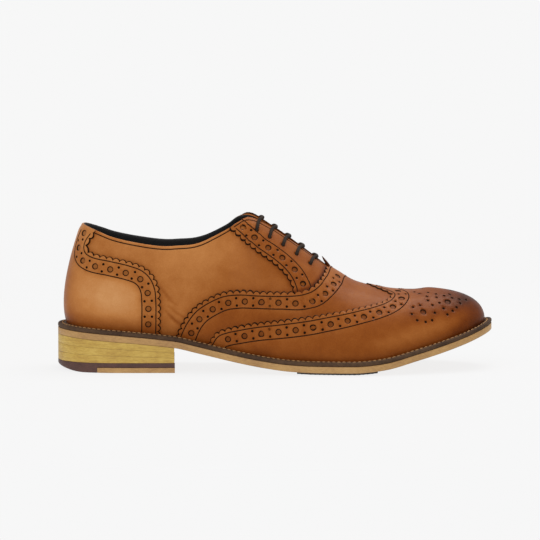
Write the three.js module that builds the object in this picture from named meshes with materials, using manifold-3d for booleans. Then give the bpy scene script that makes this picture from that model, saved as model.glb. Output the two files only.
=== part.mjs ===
// A right-foot wing-tip brogue Oxford shoe, built from the pieces that a shoemaker puts together:
// a leather outsole with a forefoot tread pad, a welt, a stacked heel with its rubber and leather top pieces,
// an insole, one hollow upper, the overlays sewn on it (counter, facings, vamp and toe cap), a tongue and a lace.
// Millimetres. +X points to the toe, +Y to the inner side of the foot and +Z up. The floor is z = 0.
import * as THREE from "three";
import { mergeVertices } from "three/addons/utils/BufferGeometryUtils.js";
import Module from "manifold-3d";

const wasm = await Module();
wasm.setup();

// Driving sizes
const LENGTH = 300; // outsole, from the back of the heel to the toe
const BALL_WIDTH = 105; // outsole, across the ball
const INSTEP_HEIGHT = 92; // from the welt to the top of the facings
const BACK_RISE = 24.5; // from the floor to the outsole's underside at the back of the heel
const TOE_SPRING = 26.5; // from the floor to the outsole's underside at the toe
const HEEL_LENGTH = 81; // from the back of the heel to its breast
const TREAD_RISE = 1.8; // from the floor to the outsole's underside at the ball
const TREAD_THICKNESS = 1.5;
const TREAD_INSET = 5; // from the outsole's edge to the tread pad's edge
const TREAD_START = 165; // from the back of the heel to the tread pad
const TREAD_LENGTH = 62;
const OUTSOLE_THICKNESS = 4;
const WELT_THICKNESS = 3.6;
const WELT_REACH = 7; // from the upper's foot to the welt's edge
const INSOLE_THICKNESS = 3;
const TOP_PIECE_HEIGHT = 6.8; // rubber at the back of the heel's walking face
const TIP_HEIGHT = 3.6; // leather tip let into the rubber
const TIP_SETBACK = 28; // from the back of the heel to the leather tip
const LIFTS = ["heel_lift_lower", "heel_lift_middle", "heel_lift_upper"]; // leather, from the floor up
const BEVEL_HEIGHT = 4; // the walking face turns up at the very back
const BEVEL_LENGTH = 20;
const UPPER_WALL = 2.4; // outer leather with its lining
const OVERLAY = 1.1; // counter, facings and vamp
const CAP = 1.9; // toe cap with its stiffener
const TONGUE = 2;
const TONGUE_DROP = 28; // from the instep's ridge down to the tongue's edge, seen from the side
const SLIT = 3; // between the two facings
const LACE = 2.2; // diameter
const EYELET = 4.8; // hole
const EYELET_SETBACK = 0.2; // way down the side of the instep, as a share of its girth
const GAP = 0.3; // between pieces that meet
const BEND = 7; // how far the toe swings to the inner side

// How the foot's axis bends along the shoe, as shares of the length and of BEND
const AXIS = [
  { at: 0, side: 0 },
  { at: 0.27, side: -0.1 },
  { at: 0.45, side: -0.4 },
  { at: 0.68, side: -0.15 },
  { at: 0.85, side: 0.5 },
  { at: 1, side: 1 },
];

// The outsole's underside: heel and toe are shares of BACK_RISE and TOE_SPRING over the tread's rise.
const UNDERSIDE = [
  { at: 0, heel: 1, toe: 0 },
  { at: 0.27, heel: 0.675, toe: 0 },
  { at: 0.32, heel: 0.53, toe: 0 },
  { at: 0.37, heel: 0.38, toe: 0 },
  { at: 0.42, heel: 0.24, toe: 0 },
  { at: 0.475, heel: 0.115, toe: 0 },
  { at: 0.535, heel: 0.025, toe: 0 },
  { at: 0.59, heel: 0, toe: 0 },
  { at: 0.68, heel: 0, toe: 0 },
  { at: 0.71, heel: 0, toe: 0.018 },
  { at: 0.755, heel: 0, toe: 0.081 },
  { at: 0.82, heel: 0, toe: 0.279 },
  { at: 0.88, heel: 0, toe: 0.478 },
  { at: 0.94, heel: 0, toe: 0.713 },
  { at: 1, heel: 0, toe: 1 },
];

// The last, one row for each section from the back of the heel to the toe. Each section is a curve from the upper's
// foot to its top edge: the topline as far as the facings, the slit, and then the ridge of vamp and toe.
//   at, outer, inner      the outsole's edge: share of LENGTH, half widths as shares of BALL_WIDTH
//   topAt, topOut, topUp  the top edge: shares of LENGTH, BALL_WIDTH and INSTEP_HEIGHT, from the axis and the welt
//   bellyOut, bellyUp     how the section leaves the foot: shares of BALL_WIDTH and INSTEP_HEIGHT
//   neckAt, neckOut, neckDown  how it arrives at the top edge, from that edge
const SECTIONS = [
  { at: 0, outer: 0, inner: 0, topAt: 0.056, topOut: 0, topUp: 0.74, bellyOut: 0.054, bellyUp: 0.18, neckAt: -0.025, neckOut: 0, neckDown: 0.23 },
  { at: 0.012, outer: 0.157, inner: 0.157, topAt: 0.064, topOut: 0.108, topUp: 0.735, bellyOut: 0.052, bellyUp: 0.18, neckAt: -0.017, neckOut: 0.04, neckDown: 0.23 },
  { at: 0.043, outer: 0.257, inner: 0.257, topAt: 0.089, topOut: 0.18, topUp: 0.712, bellyOut: 0.044, bellyUp: 0.185, neckAt: -0.007, neckOut: 0.05, neckDown: 0.23 },
  { at: 0.1, outer: 0.319, inner: 0.319, topAt: 0.128, topOut: 0.233, topUp: 0.68, bellyOut: 0.034, bellyUp: 0.19, neckAt: 0, neckOut: 0.047, neckDown: 0.23 },
  { at: 0.173, outer: 0.329, inner: 0.326, topAt: 0.187, topOut: 0.262, topUp: 0.663, bellyOut: 0.03, bellyUp: 0.2, neckAt: 0, neckOut: 0.045, neckDown: 0.24 },
  { at: 0.267, outer: 0.324, inner: 0.314, topAt: 0.267, topOut: 0.271, topUp: 0.671, bellyOut: 0.034, bellyUp: 0.2, neckAt: 0, neckOut: 0.052, neckDown: 0.26 },
  { at: 0.347, outer: 0.333, inner: 0.295, topAt: 0.337, topOut: 0.243, topUp: 0.755, bellyOut: 0.043, bellyUp: 0.24, neckAt: 0, neckOut: 0.076, neckDown: 0.28 },
  { at: 0.4, outer: 0.352, inner: 0.3, topAt: 0.39, topOut: 0.165, topUp: 0.885, bellyOut: 0.05, bellyUp: 0.28, neckAt: -0.005, neckOut: 0.115, neckDown: 0.25 },
  { at: 0.44, outer: 0.373, inner: 0.31, topAt: 0.418, topOut: 0.09, topUp: 0.965, bellyOut: 0.058, bellyUp: 0.32, neckAt: -0.015, neckOut: 0.145, neckDown: 0.15 },
  { at: 0.47, outer: 0.392, inner: 0.324, topAt: 0.444, topOut: 0, topUp: 1.003, bellyOut: 0.066, bellyUp: 0.34, neckAt: -0.027, neckOut: 0.16, neckDown: 0 },
  { at: 0.507, outer: 0.416, inner: 0.348, topAt: 0.496, topOut: 0, topUp: 0.925, bellyOut: 0.067, bellyUp: 0.34, neckAt: -0.03, neckOut: 0.155, neckDown: -0.062 },
  { at: 0.56, outer: 0.45, inner: 0.39, topAt: 0.557, topOut: 0, topUp: 0.8, bellyOut: 0.066, bellyUp: 0.31, neckAt: -0.03, neckOut: 0.167, neckDown: -0.07 },
  { at: 0.613, outer: 0.481, inner: 0.438, topAt: 0.62, topOut: 0, topUp: 0.65, bellyOut: 0.057, bellyUp: 0.27, neckAt: -0.027, neckOut: 0.19, neckDown: -0.055 },
  { at: 0.667, outer: 0.498, inner: 0.482, topAt: 0.667, topOut: 0, topUp: 0.56, bellyOut: 0.043, bellyUp: 0.23, neckAt: -0.015, neckOut: 0.219, neckDown: -0.018 },
  { at: 0.723, outer: 0.492, inner: 0.502, topAt: 0.723, topOut: 0, topUp: 0.49, bellyOut: 0.038, bellyUp: 0.195, neckAt: 0, neckOut: 0.229, neckDown: 0 },
  { at: 0.793, outer: 0.449, inner: 0.46, topAt: 0.785, topOut: 0, topUp: 0.42, bellyOut: 0.033, bellyUp: 0.175, neckAt: 0, neckOut: 0.225, neckDown: 0 },
  { at: 0.86, outer: 0.388, inner: 0.402, topAt: 0.815, topOut: 0, topUp: 0.389, bellyOut: 0.027, bellyUp: 0.165, neckAt: 0.018, neckOut: 0.2, neckDown: 0.002 },
  { at: 0.913, outer: 0.327, inner: 0.342, topAt: 0.835, topOut: 0, topUp: 0.378, bellyOut: 0.021, bellyUp: 0.155, neckAt: 0.041, neckOut: 0.166, neckDown: 0.012 },
  { at: 0.957, outer: 0.256, inner: 0.269, topAt: 0.848, topOut: 0, topUp: 0.373, bellyOut: 0.016, bellyUp: 0.145, neckAt: 0.061, neckOut: 0.118, neckDown: 0.02 },
  { at: 0.988, outer: 0.154, inner: 0.161, topAt: 0.857, topOut: 0, topUp: 0.365, bellyOut: 0.011, bellyUp: 0.135, neckAt: 0.076, neckOut: 0.062, neckDown: 0.025 },
  { at: 1, outer: 0, inner: 0, topAt: 0.86, topOut: 0, topUp: 0.362, bellyOut: 0.0095, bellyUp: 0.13, neckAt: 0.083, neckOut: 0, neckDown: 0.028 },
];
const SLIT_ROWS = [9, 12]; // the rows of SECTIONS between which the facings leave a slit

// Edges of the overlays seen from the side: shares of LENGTH from the back, and of INSTEP_HEIGHT above the welt's line
const COUNTER_EDGE = [
  { at: 0.088, up: 0.8 },
  { at: 0.078, up: 0.66 },
  { at: 0.068, up: 0.6 },
  { at: 0.07, up: 0.565 },
  { at: 0.082, up: 0.54 },
  { at: 0.125, up: 0.53 },
  { at: 0.178, up: 0.52 },
  { at: 0.208, up: 0.485 },
  { at: 0.229, up: 0.42 },
  { at: 0.237, up: 0.34 },
  { at: 0.237, up: 0.15 },
  { at: 0.233, up: -0.1 },
];
const FACING_EDGE = [
  { at: 0.378, up: 1.0 },
  { at: 0.39, up: 0.9 },
  { at: 0.41, up: 0.84 },
  { at: 0.433, up: 0.81 },
  { at: 0.46, up: 0.77 },
  { at: 0.487, up: 0.73 },
  { at: 0.513, up: 0.68 },
  { at: 0.533, up: 0.605 },
  { at: 0.541, up: 0.56 },
  { at: 0.545, up: 0.49 },
  { at: 0.55, up: 0.4 },
];
const VAMP_EDGE = [
  { at: 0.262, up: -0.1 },
  { at: 0.277, up: 0.04 },
  { at: 0.288, up: 0.14 },
  { at: 0.31, up: 0.285 },
  { at: 0.341, up: 0.37 },
  { at: 0.38, up: 0.44 },
  { at: 0.42, up: 0.47 },
  { at: 0.46, up: 0.485 },
  { at: 0.535, up: 0.51 },
  { at: 0.56, up: 0.515 },
  { at: 0.583, up: 0.53 },
  { at: 0.602, up: 0.57 },
  { at: 0.615, up: 0.615 },
  { at: 0.626, up: 0.66 },
  { at: 0.64, up: 0.8 },
];
const CAP_EDGE = [
  { at: 0.335, up: -0.1 },
  { at: 0.35, up: 0.03 },
  { at: 0.367, up: 0.125 },
  { at: 0.393, up: 0.17 },
  { at: 0.42, up: 0.21 },
  { at: 0.46, up: 0.245 },
  { at: 0.535, up: 0.31 },
  { at: 0.607, up: 0.355 },
  { at: 0.66, up: 0.385 },
  { at: 0.712, up: 0.39 },
  { at: 0.747, up: 0.4 },
  { at: 0.765, up: 0.42 },
  { at: 0.768, up: 0.44 },
  { at: 0.747, up: 0.463 },
  { at: 0.715, up: 0.505 },
  { at: 0.7, up: 0.56 },
];
const EYELETS = [0.468, 0.499, 0.53, 0.561, 0.592]; // shares of LENGTH, down the facings from the top

// How finely the curved faces are cut
const STEPS = 2; // between two rows of SECTIONS
const RISES = 7; // up a section
const LACE_STEPS = 120;
const LACE_SIDES = 8;

// A smooth curve through table rows, with slopes that never overshoot, so that a level stretch stays level.
function level(rows, at, key) {
  const last = rows.length - 1;
  const rise = (i) => (rows[i + 1][key] - rows[i][key]) / (rows[i + 1].at - rows[i].at);
  const slope = (i) => {
    if (i === 0) return rise(0);
    if (i === last) return rise(last - 1);
    const product = rise(i - 1) * rise(i);
    return product <= 0 ? 0 : (2 * product) / (rise(i - 1) + rise(i));
  };
  const x = Math.min(Math.max(at, rows[0].at), rows[last].at);
  const i = Math.min(rows.findLastIndex((row) => row.at <= x), last - 1);
  const span = rows[i + 1].at - rows[i].at;
  return hermite(rows[i][key], rows[i + 1][key], slope(i) * span, slope(i + 1) * span, (x - rows[i].at) / span);
}

function hermite(a, b, slopeA, slopeB, t) {
  const s = 1 - t;
  return a * s * s * (1 + 2 * t) + b * t * t * (3 - 2 * t) + slopeA * t * s * s - slopeB * t * t * s;
}

// Heights along the shoe
const underside = (x) =>
  TREAD_RISE +
  (BACK_RISE - TREAD_RISE) * level(UNDERSIDE, x / LENGTH, "heel") +
  (TOE_SPRING - TREAD_RISE) * level(UNDERSIDE, x / LENGTH, "toe");
const outsoleTop = (x) => underside(x) + OUTSOLE_THICKNESS;
const weltTop = (x) => outsoleTop(x) + WELT_THICKNESS;
const axisSide = (x) => BEND * level(AXIS, x / LENGTH, "side");

// The sections' own knots: the length of the outsole's edge from row to row
const KNOTS = SECTIONS.reduce((knots, row, i) => {
  if (i === 0) return [0];
  const before = SECTIONS[i - 1];
  const width = (row.outer + row.inner - before.outer - before.inner) / 2;
  return [...knots, knots[i - 1] + Math.hypot((row.at - before.at) * LENGTH, width * BALL_WIDTH)];
}, []);
const TOE = SECTIONS.length - 1;

// A column of SECTIONS at row number u, which may lie between two rows. Beyond the heel and the toe the shoe's other side
// goes on, where a column that runs across the shoe changes its sign. That is what rounds both ends.
function column(key, u, { across = false, otherKey = key } = {}) {
  const value = (i) => {
    if (i >= 0 && i <= TOE) return SECTIONS[i][key];
    const other = SECTIONS[i < 0 ? -i : 2 * TOE - i][otherKey];
    return across ? -other : other;
  };
  const knot = (i) => (i < 0 ? -KNOTS[-i] : i > TOE ? 2 * KNOTS[TOE] - KNOTS[2 * TOE - i] : KNOTS[i]);
  const slope = (i) => {
    const before = knot(i) - knot(i - 1);
    const after = knot(i + 1) - knot(i);
    const riseBefore = (value(i) - value(i - 1)) / before;
    const riseAfter = (value(i + 1) - value(i)) / after;
    return (riseBefore * after + riseAfter * before) / (before + after);
  };
  const i = Math.min(Math.max(Math.floor(u), 0), TOE - 1);
  const span = knot(i + 1) - knot(i);
  return hermite(value(i), value(i + 1), slope(i) * span, slope(i + 1) * span, u - i);
}

// A side is -1 on the outer side of the foot and 1 on its inner side.
const widthKey = (side) => (side < 0 ? "outer" : "inner");

// A point of the outsole's edge, in plan
function edgePoint(side, u) {
  const width = BALL_WIDTH * column(widthKey(side), u, { across: true, otherKey: widthKey(-side) });
  return new THREE.Vector2(LENGTH * column("at", u), side * width);
}

// The direction that points out of the shoe at that edge, in plan
function outward(side, u) {
  const step = 0.02;
  const ahead = edgePoint(side, Math.min(u + step, TOE));
  const behind = edgePoint(side, Math.max(u - step, 0));
  const along = ahead.sub(behind);
  if (u < step) return new THREE.Vector2(-1, 0);
  if (u > TOE - step) return new THREE.Vector2(1, 0);
  return new THREE.Vector2(-along.y, along.x).multiplyScalar(side).normalize();
}

// The edge taken in by a distance, with the bend of the foot's axis
function insetPoint(side, u, inset) {
  const p = edgePoint(side, u).addScaledVector(outward(side, u), -inset);
  return new THREE.Vector2(p.x, p.y + axisSide(p.x));
}

// The four points that shape a section: its foot, belly, neck and top edge
function sectionPoints(side, u, slit) {
  const out = outward(side, u);
  const foot = edgePoint(side, u).addScaledVector(out, -WELT_REACH);
  const footUp = weltTop(foot.x) + GAP;
  const belly = foot.clone().addScaledVector(out, BALL_WIDTH * column("bellyOut", u));
  const topX = LENGTH * column("topAt", u);
  const topSide = BALL_WIDTH * Math.max(column("topOut", u, { across: true }), 0) + slitHalf(u, slit);
  const topUp = weltTop(topX) + GAP + INSTEP_HEIGHT * column("topUp", u);
  const neckX = topX + LENGTH * column("neckAt", u);
  const neckSide = topSide + BALL_WIDTH * column("neckOut", u, { across: true });
  return [
    new THREE.Vector3(foot.x, foot.y, footUp),
    new THREE.Vector3(belly.x, belly.y, footUp + INSTEP_HEIGHT * column("bellyUp", u)),
    new THREE.Vector3(neckX, side * neckSide, topUp - INSTEP_HEIGHT * column("neckDown", u)),
    new THREE.Vector3(topX, side * topSide, topUp),
  ];
}

// Half of the slit between the facings, which opens ahead of its first row and closes at its last
function slitHalf(u, slit) {
  const [start, end] = SLIT_ROWS;
  const open = Math.min(Math.max((u - start + 1) * 2, 0), 1) * Math.min(Math.max((end - u) * 2, 0), 1);
  return (slit / 2) * open;
}

// A point of the last's surface at row number u and share v of its section, before any thickness
function skin(side, u, v, slit) {
  const [foot, belly, neck, top] = sectionPoints(side, u, slit);
  const w = 1 - v;
  const p = foot
    .multiplyScalar(w * w * w)
    .addScaledVector(belly, 3 * w * w * v)
    .addScaledVector(neck, 3 * w * v * v)
    .addScaledVector(top, v * v * v);
  p.y += axisSide(p.x);
  return p;
}

// The direction out of the surface. The two sides share it where they meet: at the heel, at the toe and along the ridge.
function skinNormal(side, u, v, slit) {
  const step = 0.01;
  const near = Math.min(Math.max(u, 2 * step), TOE - 2 * step);
  const mid = Math.min(Math.max(v, step), 1 - step);
  const oneSide = (s) => {
    const along = skin(s, near + step, mid, slit).sub(skin(s, near - step, mid, slit));
    const up = skin(s, near, mid + step, slit).sub(skin(s, near, mid - step, slit));
    return along.cross(up).multiplyScalar(-s).normalize();
  };
  const shared = near !== u || (v === 1 && isRidge(u, slit));
  return shared ? oneSide(-1).add(oneSide(1)).setY(0).normalize() : oneSide(side);
}

// Whether both sides meet on the axis at row number u
const isRidge = (u, slit) => u >= SLIT_ROWS[0] && slitHalf(u, slit) === 0;

// A point at a distance from the surface. Below the section's foot the wall goes straight down to footUp.
function skinAt(side, u, v, distance, slit) {
  return skin(side, u, v, slit).addScaledVector(skinNormal(side, u, v, slit), distance);
}

// A solid from a list of points and of faces given by three or four of their numbers
function solidFrom(points, faces) {
  const geometry = new THREE.BufferGeometry();
  const corners = faces.flatMap((f) => (f.length === 3 ? f : [f[0], f[1], f[2], f[0], f[2], f[3]]));
  const position = new Float32Array(corners.flatMap((i) => points[i].toArray()));
  geometry.setAttribute("position", new THREE.BufferAttribute(position, 3));
  return solidOf(geometry);
}

// A manifold-3d solid from a closed geometry
function solidOf(geometry) {
  const bare = new THREE.BufferGeometry();
  bare.setAttribute("position", (geometry.index ? geometry.toNonIndexed() : geometry).getAttribute("position"));
  const merged = mergeVertices(bare, 1e-4);
  const index = merged.index.array;
  const triVerts = [];
  for (let i = 0; i < index.length; i += 3) {
    const [a, b, c] = [index[i], index[i + 1], index[i + 2]];
    if (a !== b && b !== c && c !== a) triVerts.push(a, b, c);
  }
  const mesh = new wasm.Mesh({
    numProp: 3,
    vertProperties: merged.attributes.position.array,
    triVerts: new Uint32Array(triVerts),
  });
  return new wasm.Manifold(mesh);
}

// The rows that are cut round the shoe: the outer side from heel to toe, then the inner side back to the heel
const LOOP = [];
for (let i = 0; i < TOE * STEPS; i += 1) LOOP.push({ side: -1, u: i / STEPS });
for (let i = TOE * STEPS; i > 0; i -= 1) LOOP.push({ side: 1, u: i / STEPS });

// A closed wall between two distances from the surface, open along the topline, the slit and the foot
function wall(inner, outer, { footUp = null, slit = SLIT } = {}) {
  const rises = Array.from({ length: RISES + 1 }, (_, j) => j / RISES);
  const rows = footUp === null ? rises : [-1, ...rises];
  const points = [];
  for (const distance of [outer, inner]) {
    for (const { side, u } of LOOP) {
      for (const v of rows) {
        const p = skinAt(side, u, Math.max(v, 0), distance, slit);
        if (v <= 0) p.z = weltTop(p.x) + GAP;
        if (v < 0) p.z = footUp(p.x);
        points.push(p);
      }
    }
  }
  const height = rows.length;
  const ring = LOOP.length * height;
  const number = (layer, i, j) => layer * ring + (i % LOOP.length) * height + j;
  const faces = [];
  LOOP.forEach((row, i) => {
    for (let j = 0; j < height - 1; j += 1) {
      faces.push([number(0, i, j), number(0, i + 1, j), number(0, i + 1, j + 1), number(0, i, j + 1)]);
      faces.push([number(1, i, j), number(1, i, j + 1), number(1, i + 1, j + 1), number(1, i + 1, j)]);
    }
    faces.push([number(0, i, 0), number(1, i, 0), number(1, i + 1, 0), number(0, i + 1, 0)]);
    const next = LOOP[(i + 1) % LOOP.length];
    const top = height - 1;
    if (isRidge(row.u, slit) && isRidge(next.u, slit)) return;
    faces.push([number(0, i, top), number(0, i + 1, top), number(1, i + 1, top), number(1, i, top)]);
  });
  return solidFrom(points, faces);
}

// A plate whose outline is the outsole's edge taken in, between two heights that follow the length
function plate(inset, bottom, top, from = 0, to = LENGTH) {
  const stations = Array.from({ length: TOE * STEPS + 1 }, (_, i) => i / STEPS);
  const points = [];
  for (const u of stations) {
    for (const side of [-1, 1]) {
      const p = insetPoint(side, u, inset);
      points.push(new THREE.Vector3(p.x, p.y, bottom(p.x)), new THREE.Vector3(p.x, p.y, top(p.x)));
    }
  }
  const faces = [];
  for (let i = 0; i < stations.length - 1; i += 1) {
    const [a, b] = [4 * i, 4 * (i + 1)];
    faces.push([a, a + 2, b + 2, b], [a + 1, b + 1, b + 3, a + 3]);
    faces.push([a, b, b + 1, a + 1], [a + 2, a + 3, b + 3, b + 2]);
  }
  const whole = solidFrom(points, faces);
  return from === 0 && to === LENGTH ? whole : whole.intersect(block(from, to));
}

// A tall block between two distances from the back of the heel
function block(from, to, bottom = -LENGTH, top = LENGTH) {
  const box = new THREE.BoxGeometry(to - from, 2 * LENGTH, top - bottom);
  return solidOf(box.translate((from + to) / 2, 0, (bottom + top) / 2));
}

// The welt: a flat ring round the upper's foot
function weltRing() {
  const points = [];
  for (const { side, u } of LOOP) {
    for (const inset of [0, WELT_REACH - GAP]) {
      const p = insetPoint(side, u, inset);
      points.push(new THREE.Vector3(p.x, p.y, outsoleTop(p.x) + GAP), new THREE.Vector3(p.x, p.y, weltTop(p.x)));
    }
  }
  const faces = [];
  LOOP.forEach((_, i) => {
    const [a, b] = [4 * i, 4 * ((i + 1) % LOOP.length)];
    faces.push([a, b, b + 1, a + 1], [a + 1, b + 1, b + 3, a + 3]);
    faces.push([a + 3, b + 3, b + 2, a + 2], [a + 2, b + 2, b, a]);
  });
  return solidFrom(points, faces);
}

// A side-view outline, closed by corners far outside the shoe and carried right across it. A clearance moves the edge to
// its left, seen along it.
function prism(edge, corners, clearance = 0) {
  const line = edge.map(({ at, up }) => sidePoint(at, up));
  const moved = line.map((p, i) => {
    const along = line[Math.min(i + 1, line.length - 1)].clone().sub(line[Math.max(i - 1, 0)]).normalize();
    return p.clone().add(new THREE.Vector2(-along.y, along.x).multiplyScalar(clearance));
  });
  const shape = new THREE.Shape([...moved, ...corners.map(({ at, up }) => sidePoint(at, up))]);
  const depth = 3 * BALL_WIDTH;
  const geometry = new THREE.ExtrudeGeometry(shape, { depth, bevelEnabled: false });
  return solidOf(geometry.rotateX(Math.PI / 2).translate(0, depth / 2, 0));
}

// A point of the side view, at a share of the length and a share of the instep's height above the welt
const sidePoint = (at, up) => new THREE.Vector2(at * LENGTH, weltTop(at * LENGTH) + up * INSTEP_HEIGHT);

// Corners far outside the shoe
const BACK = -0.2;
const FRONT = 1.2;
const OVER = 2;
const UNDER = -1;

const behindCounterEdge = prism(COUNTER_EDGE, [
  { at: BACK, up: UNDER },
  { at: BACK, up: OVER },
]);
const aheadOfFacingEdge = prism(FACING_EDGE, [
  { at: FRONT, up: FACING_EDGE.at(-1).up },
  { at: FRONT, up: OVER },
  { at: FACING_EDGE[0].at, up: OVER },
]);
const aheadOf = (edge, clearance) =>
  prism(
    edge,
    [
      { at: edge.at(-1).at, up: OVER },
      { at: FRONT, up: OVER },
      { at: FRONT, up: UNDER },
      { at: edge[0].at, up: UNDER },
    ],
    clearance,
  );

// All that lies on one side of the foot's bent axis
function half(side) {
  const along = Array.from({ length: 13 }, (_, i) => (i / 12) * LENGTH);
  const axis = along.map((x) => new THREE.Vector2(x, axisSide(x) + (side * GAP) / 2));
  const shape = new THREE.Shape([...axis, new THREE.Vector2(LENGTH, side * LENGTH), new THREE.Vector2(0, side * LENGTH)]);
  return solidOf(new THREE.ExtrudeGeometry(shape, { depth: LENGTH, bevelEnabled: false }));
}

// Where the lace passes: eyelet holes are square to the surface, part of the way down from the slit
const eyeletRow = (at) => {
  let [low, high] = SLIT_ROWS;
  for (let n = 0; n < 30; n += 1) {
    const mid = (low + high) / 2;
    if (skin(-1, mid, 1, SLIT).x < at * LENGTH) low = mid;
    else high = mid;
  }
  return (low + high) / 2;
};
const eyeletPoint = (side, at, distance) => skinAt(side, eyeletRow(at), 1 - EYELET_SETBACK, distance, SLIT);

function eyeletHoles() {
  const holes = [];
  for (const at of EYELETS) {
    for (const side of [-1, 1]) {
      const foot = eyeletPoint(side, at, -3 * UPPER_WALL);
      const head = eyeletPoint(side, at, 3 * UPPER_WALL);
      const hole = new THREE.CylinderGeometry(EYELET / 2, EYELET / 2, foot.distanceTo(head), LACE_SIDES);
      const turn = new THREE.Quaternion().setFromUnitVectors(
        new THREE.Vector3(0, 1, 0),
        head.clone().sub(foot).normalize(),
      );
      hole.applyQuaternion(turn);
      const middle = head.add(foot).multiplyScalar(0.5);
      holes.push(solidOf(hole.translate(middle.x, middle.y, middle.z)));
    }
  }
  return holes.reduce((all, hole) => all.add(hole));
}

// The lace lies across the facings in five bars, and runs from eyelet to eyelet under them.
const LACE_OVER = GAP + OVERLAY + GAP + LACE / 2;
const LACE_UNDER = -(UPPER_WALL + GAP + LACE / 2);
const TONGUE_OVER = LACE_UNDER - LACE / 2 - GAP;
const LACE_BEND = 0.6 * LACE;

// A point of the lace at a distance from its eyelet towards the slit
function lacePoint(side, at, towards, distance) {
  const row = eyeletRow(at);
  const start = 1 - EYELET_SETBACK;
  const girth = skin(side, row, start, SLIT).distanceTo(skin(side, row, 1, SLIT));
  return skinAt(side, row, Math.min(start + (towards / girth) * EYELET_SETBACK, 1), distance, SLIT);
}

function lacePath() {
  const points = [];
  EYELETS.forEach((at, k) => {
    const first = k % 2 === 0 ? 1 : -1;
    const bend = [
      [0, LACE_UNDER],
      [0, LACE_OVER - LACE_BEND],
      [0.3 * LACE_BEND, LACE_OVER - 0.3 * LACE_BEND],
      [LACE_BEND, LACE_OVER],
    ];
    const across = [0.7, 0.4, 0.15, 0].map((share) => 1 - EYELET_SETBACK * share);
    for (const [towards, distance] of bend) points.push(lacePoint(first, at, towards, distance));
    for (const v of across) points.push(skinAt(first, eyeletRow(at), v, LACE_OVER, SLIT));
    for (const v of across.toReversed()) points.push(skinAt(-first, eyeletRow(at), v, LACE_OVER, SLIT));
    for (const [towards, distance] of bend.toReversed()) points.push(lacePoint(-first, at, towards, distance));
  });
  return new THREE.CatmullRomCurve3(points, false, "centripetal");
}

function laceSolid() {
  const section = new THREE.Shape();
  section.absarc(0, 0, LACE / 2, 0, 2 * Math.PI);
  const geometry = new THREE.ExtrudeGeometry(section, {
    steps: LACE_STEPS,
    curveSegments: LACE_SIDES / 2,
    extrudePath: lacePath(),
    bevelEnabled: false,
  });
  return solidOf(geometry);
}

// The tongue hangs under the facings, from the topline to a little ahead of the slit.
function tongueSolid() {
  const [start, end] = SLIT_ROWS;
  const stations = [start, (start + end) / 2, end + 0.8].map((u) => skin(-1, u, 1, 0));
  const edge = stations.map((p) => new THREE.Vector2(p.x, p.z - TONGUE_DROP));
  const shape = new THREE.Shape([...edge, new THREE.Vector2(edge.at(-1).x, 2 * LENGTH), new THREE.Vector2(edge[0].x, 2 * LENGTH)]);
  const depth = 3 * BALL_WIDTH;
  const region = new THREE.ExtrudeGeometry(shape, { depth, bevelEnabled: false });
  region.rotateX(Math.PI / 2).translate(0, depth / 2, 0);
  return wall(TONGUE_OVER - TONGUE, TONGUE_OVER, { slit: 0 }).intersect(solidOf(region));
}

// The heel's walking face is level, and turns up at the very back.
const walkingFace = (x) => BEVEL_HEIGHT * Math.max(1 - x / BEVEL_LENGTH, 0) ** 2;

// The lifts share the space between the walking face's pieces and the outsole, so they taper to the breast.
const lifts = Object.fromEntries(
  LIFTS.map((name, i) => {
    const share = (x, n) => TOP_PIECE_HEIGHT + (underside(x) - TOP_PIECE_HEIGHT) * (n / LIFTS.length);
    return [name, plate(0, (x) => share(x, i) + GAP, (x) => share(x, i + 1) - (i === LIFTS.length - 1 ? GAP : 0), 0, HEEL_LENGTH)];
  }),
);

const tip = block(TIP_SETBACK, HEEL_LENGTH + 1, -LENGTH, TIP_HEIGHT + GAP);
const topPiece = plate(0, walkingFace, () => TOP_PIECE_HEIGHT, 0, HEEL_LENGTH);
const holes = eyeletHoles();
const overlay = wall(GAP, GAP + OVERLAY);
const facings = overlay.intersect(aheadOfFacingEdge).subtract(aheadOf(VAMP_EDGE, GAP)).subtract(holes);
const treadFace = (x) => Math.max(underside(x) - GAP - TREAD_THICKNESS, 0);

const solids = {
  outsole: plate(0, underside, outsoleTop),
  tread_pad: plate(TREAD_INSET, treadFace, (x) => underside(x) - GAP, TREAD_START, TREAD_START + TREAD_LENGTH),
  welt: weltRing(),
  insole: plate(
    WELT_REACH + UPPER_WALL + GAP,
    (x) => outsoleTop(x) + GAP,
    (x) => outsoleTop(x) + GAP + INSOLE_THICKNESS,
  ),
  heel_top_piece: topPiece.subtract(tip),
  heel_leather_tip: plate(0, walkingFace, () => TIP_HEIGHT, TIP_SETBACK + GAP, HEEL_LENGTH),
  ...lifts,
  upper: wall(-UPPER_WALL, 0, { footUp: (x) => outsoleTop(x) + GAP }).subtract(holes),
  counter: overlay.intersect(behindCounterEdge),
  facing_outer: facings.intersect(half(-1)),
  facing_inner: facings.intersect(half(1)),
  vamp: overlay.intersect(aheadOf(VAMP_EDGE, 0)).subtract(aheadOf(CAP_EDGE, GAP)),
  toe_cap: wall(GAP, GAP + CAP).intersect(aheadOf(CAP_EDGE, 0)),
  tongue: tongueSolid(),
  lace: laceSolid(),
};

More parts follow.
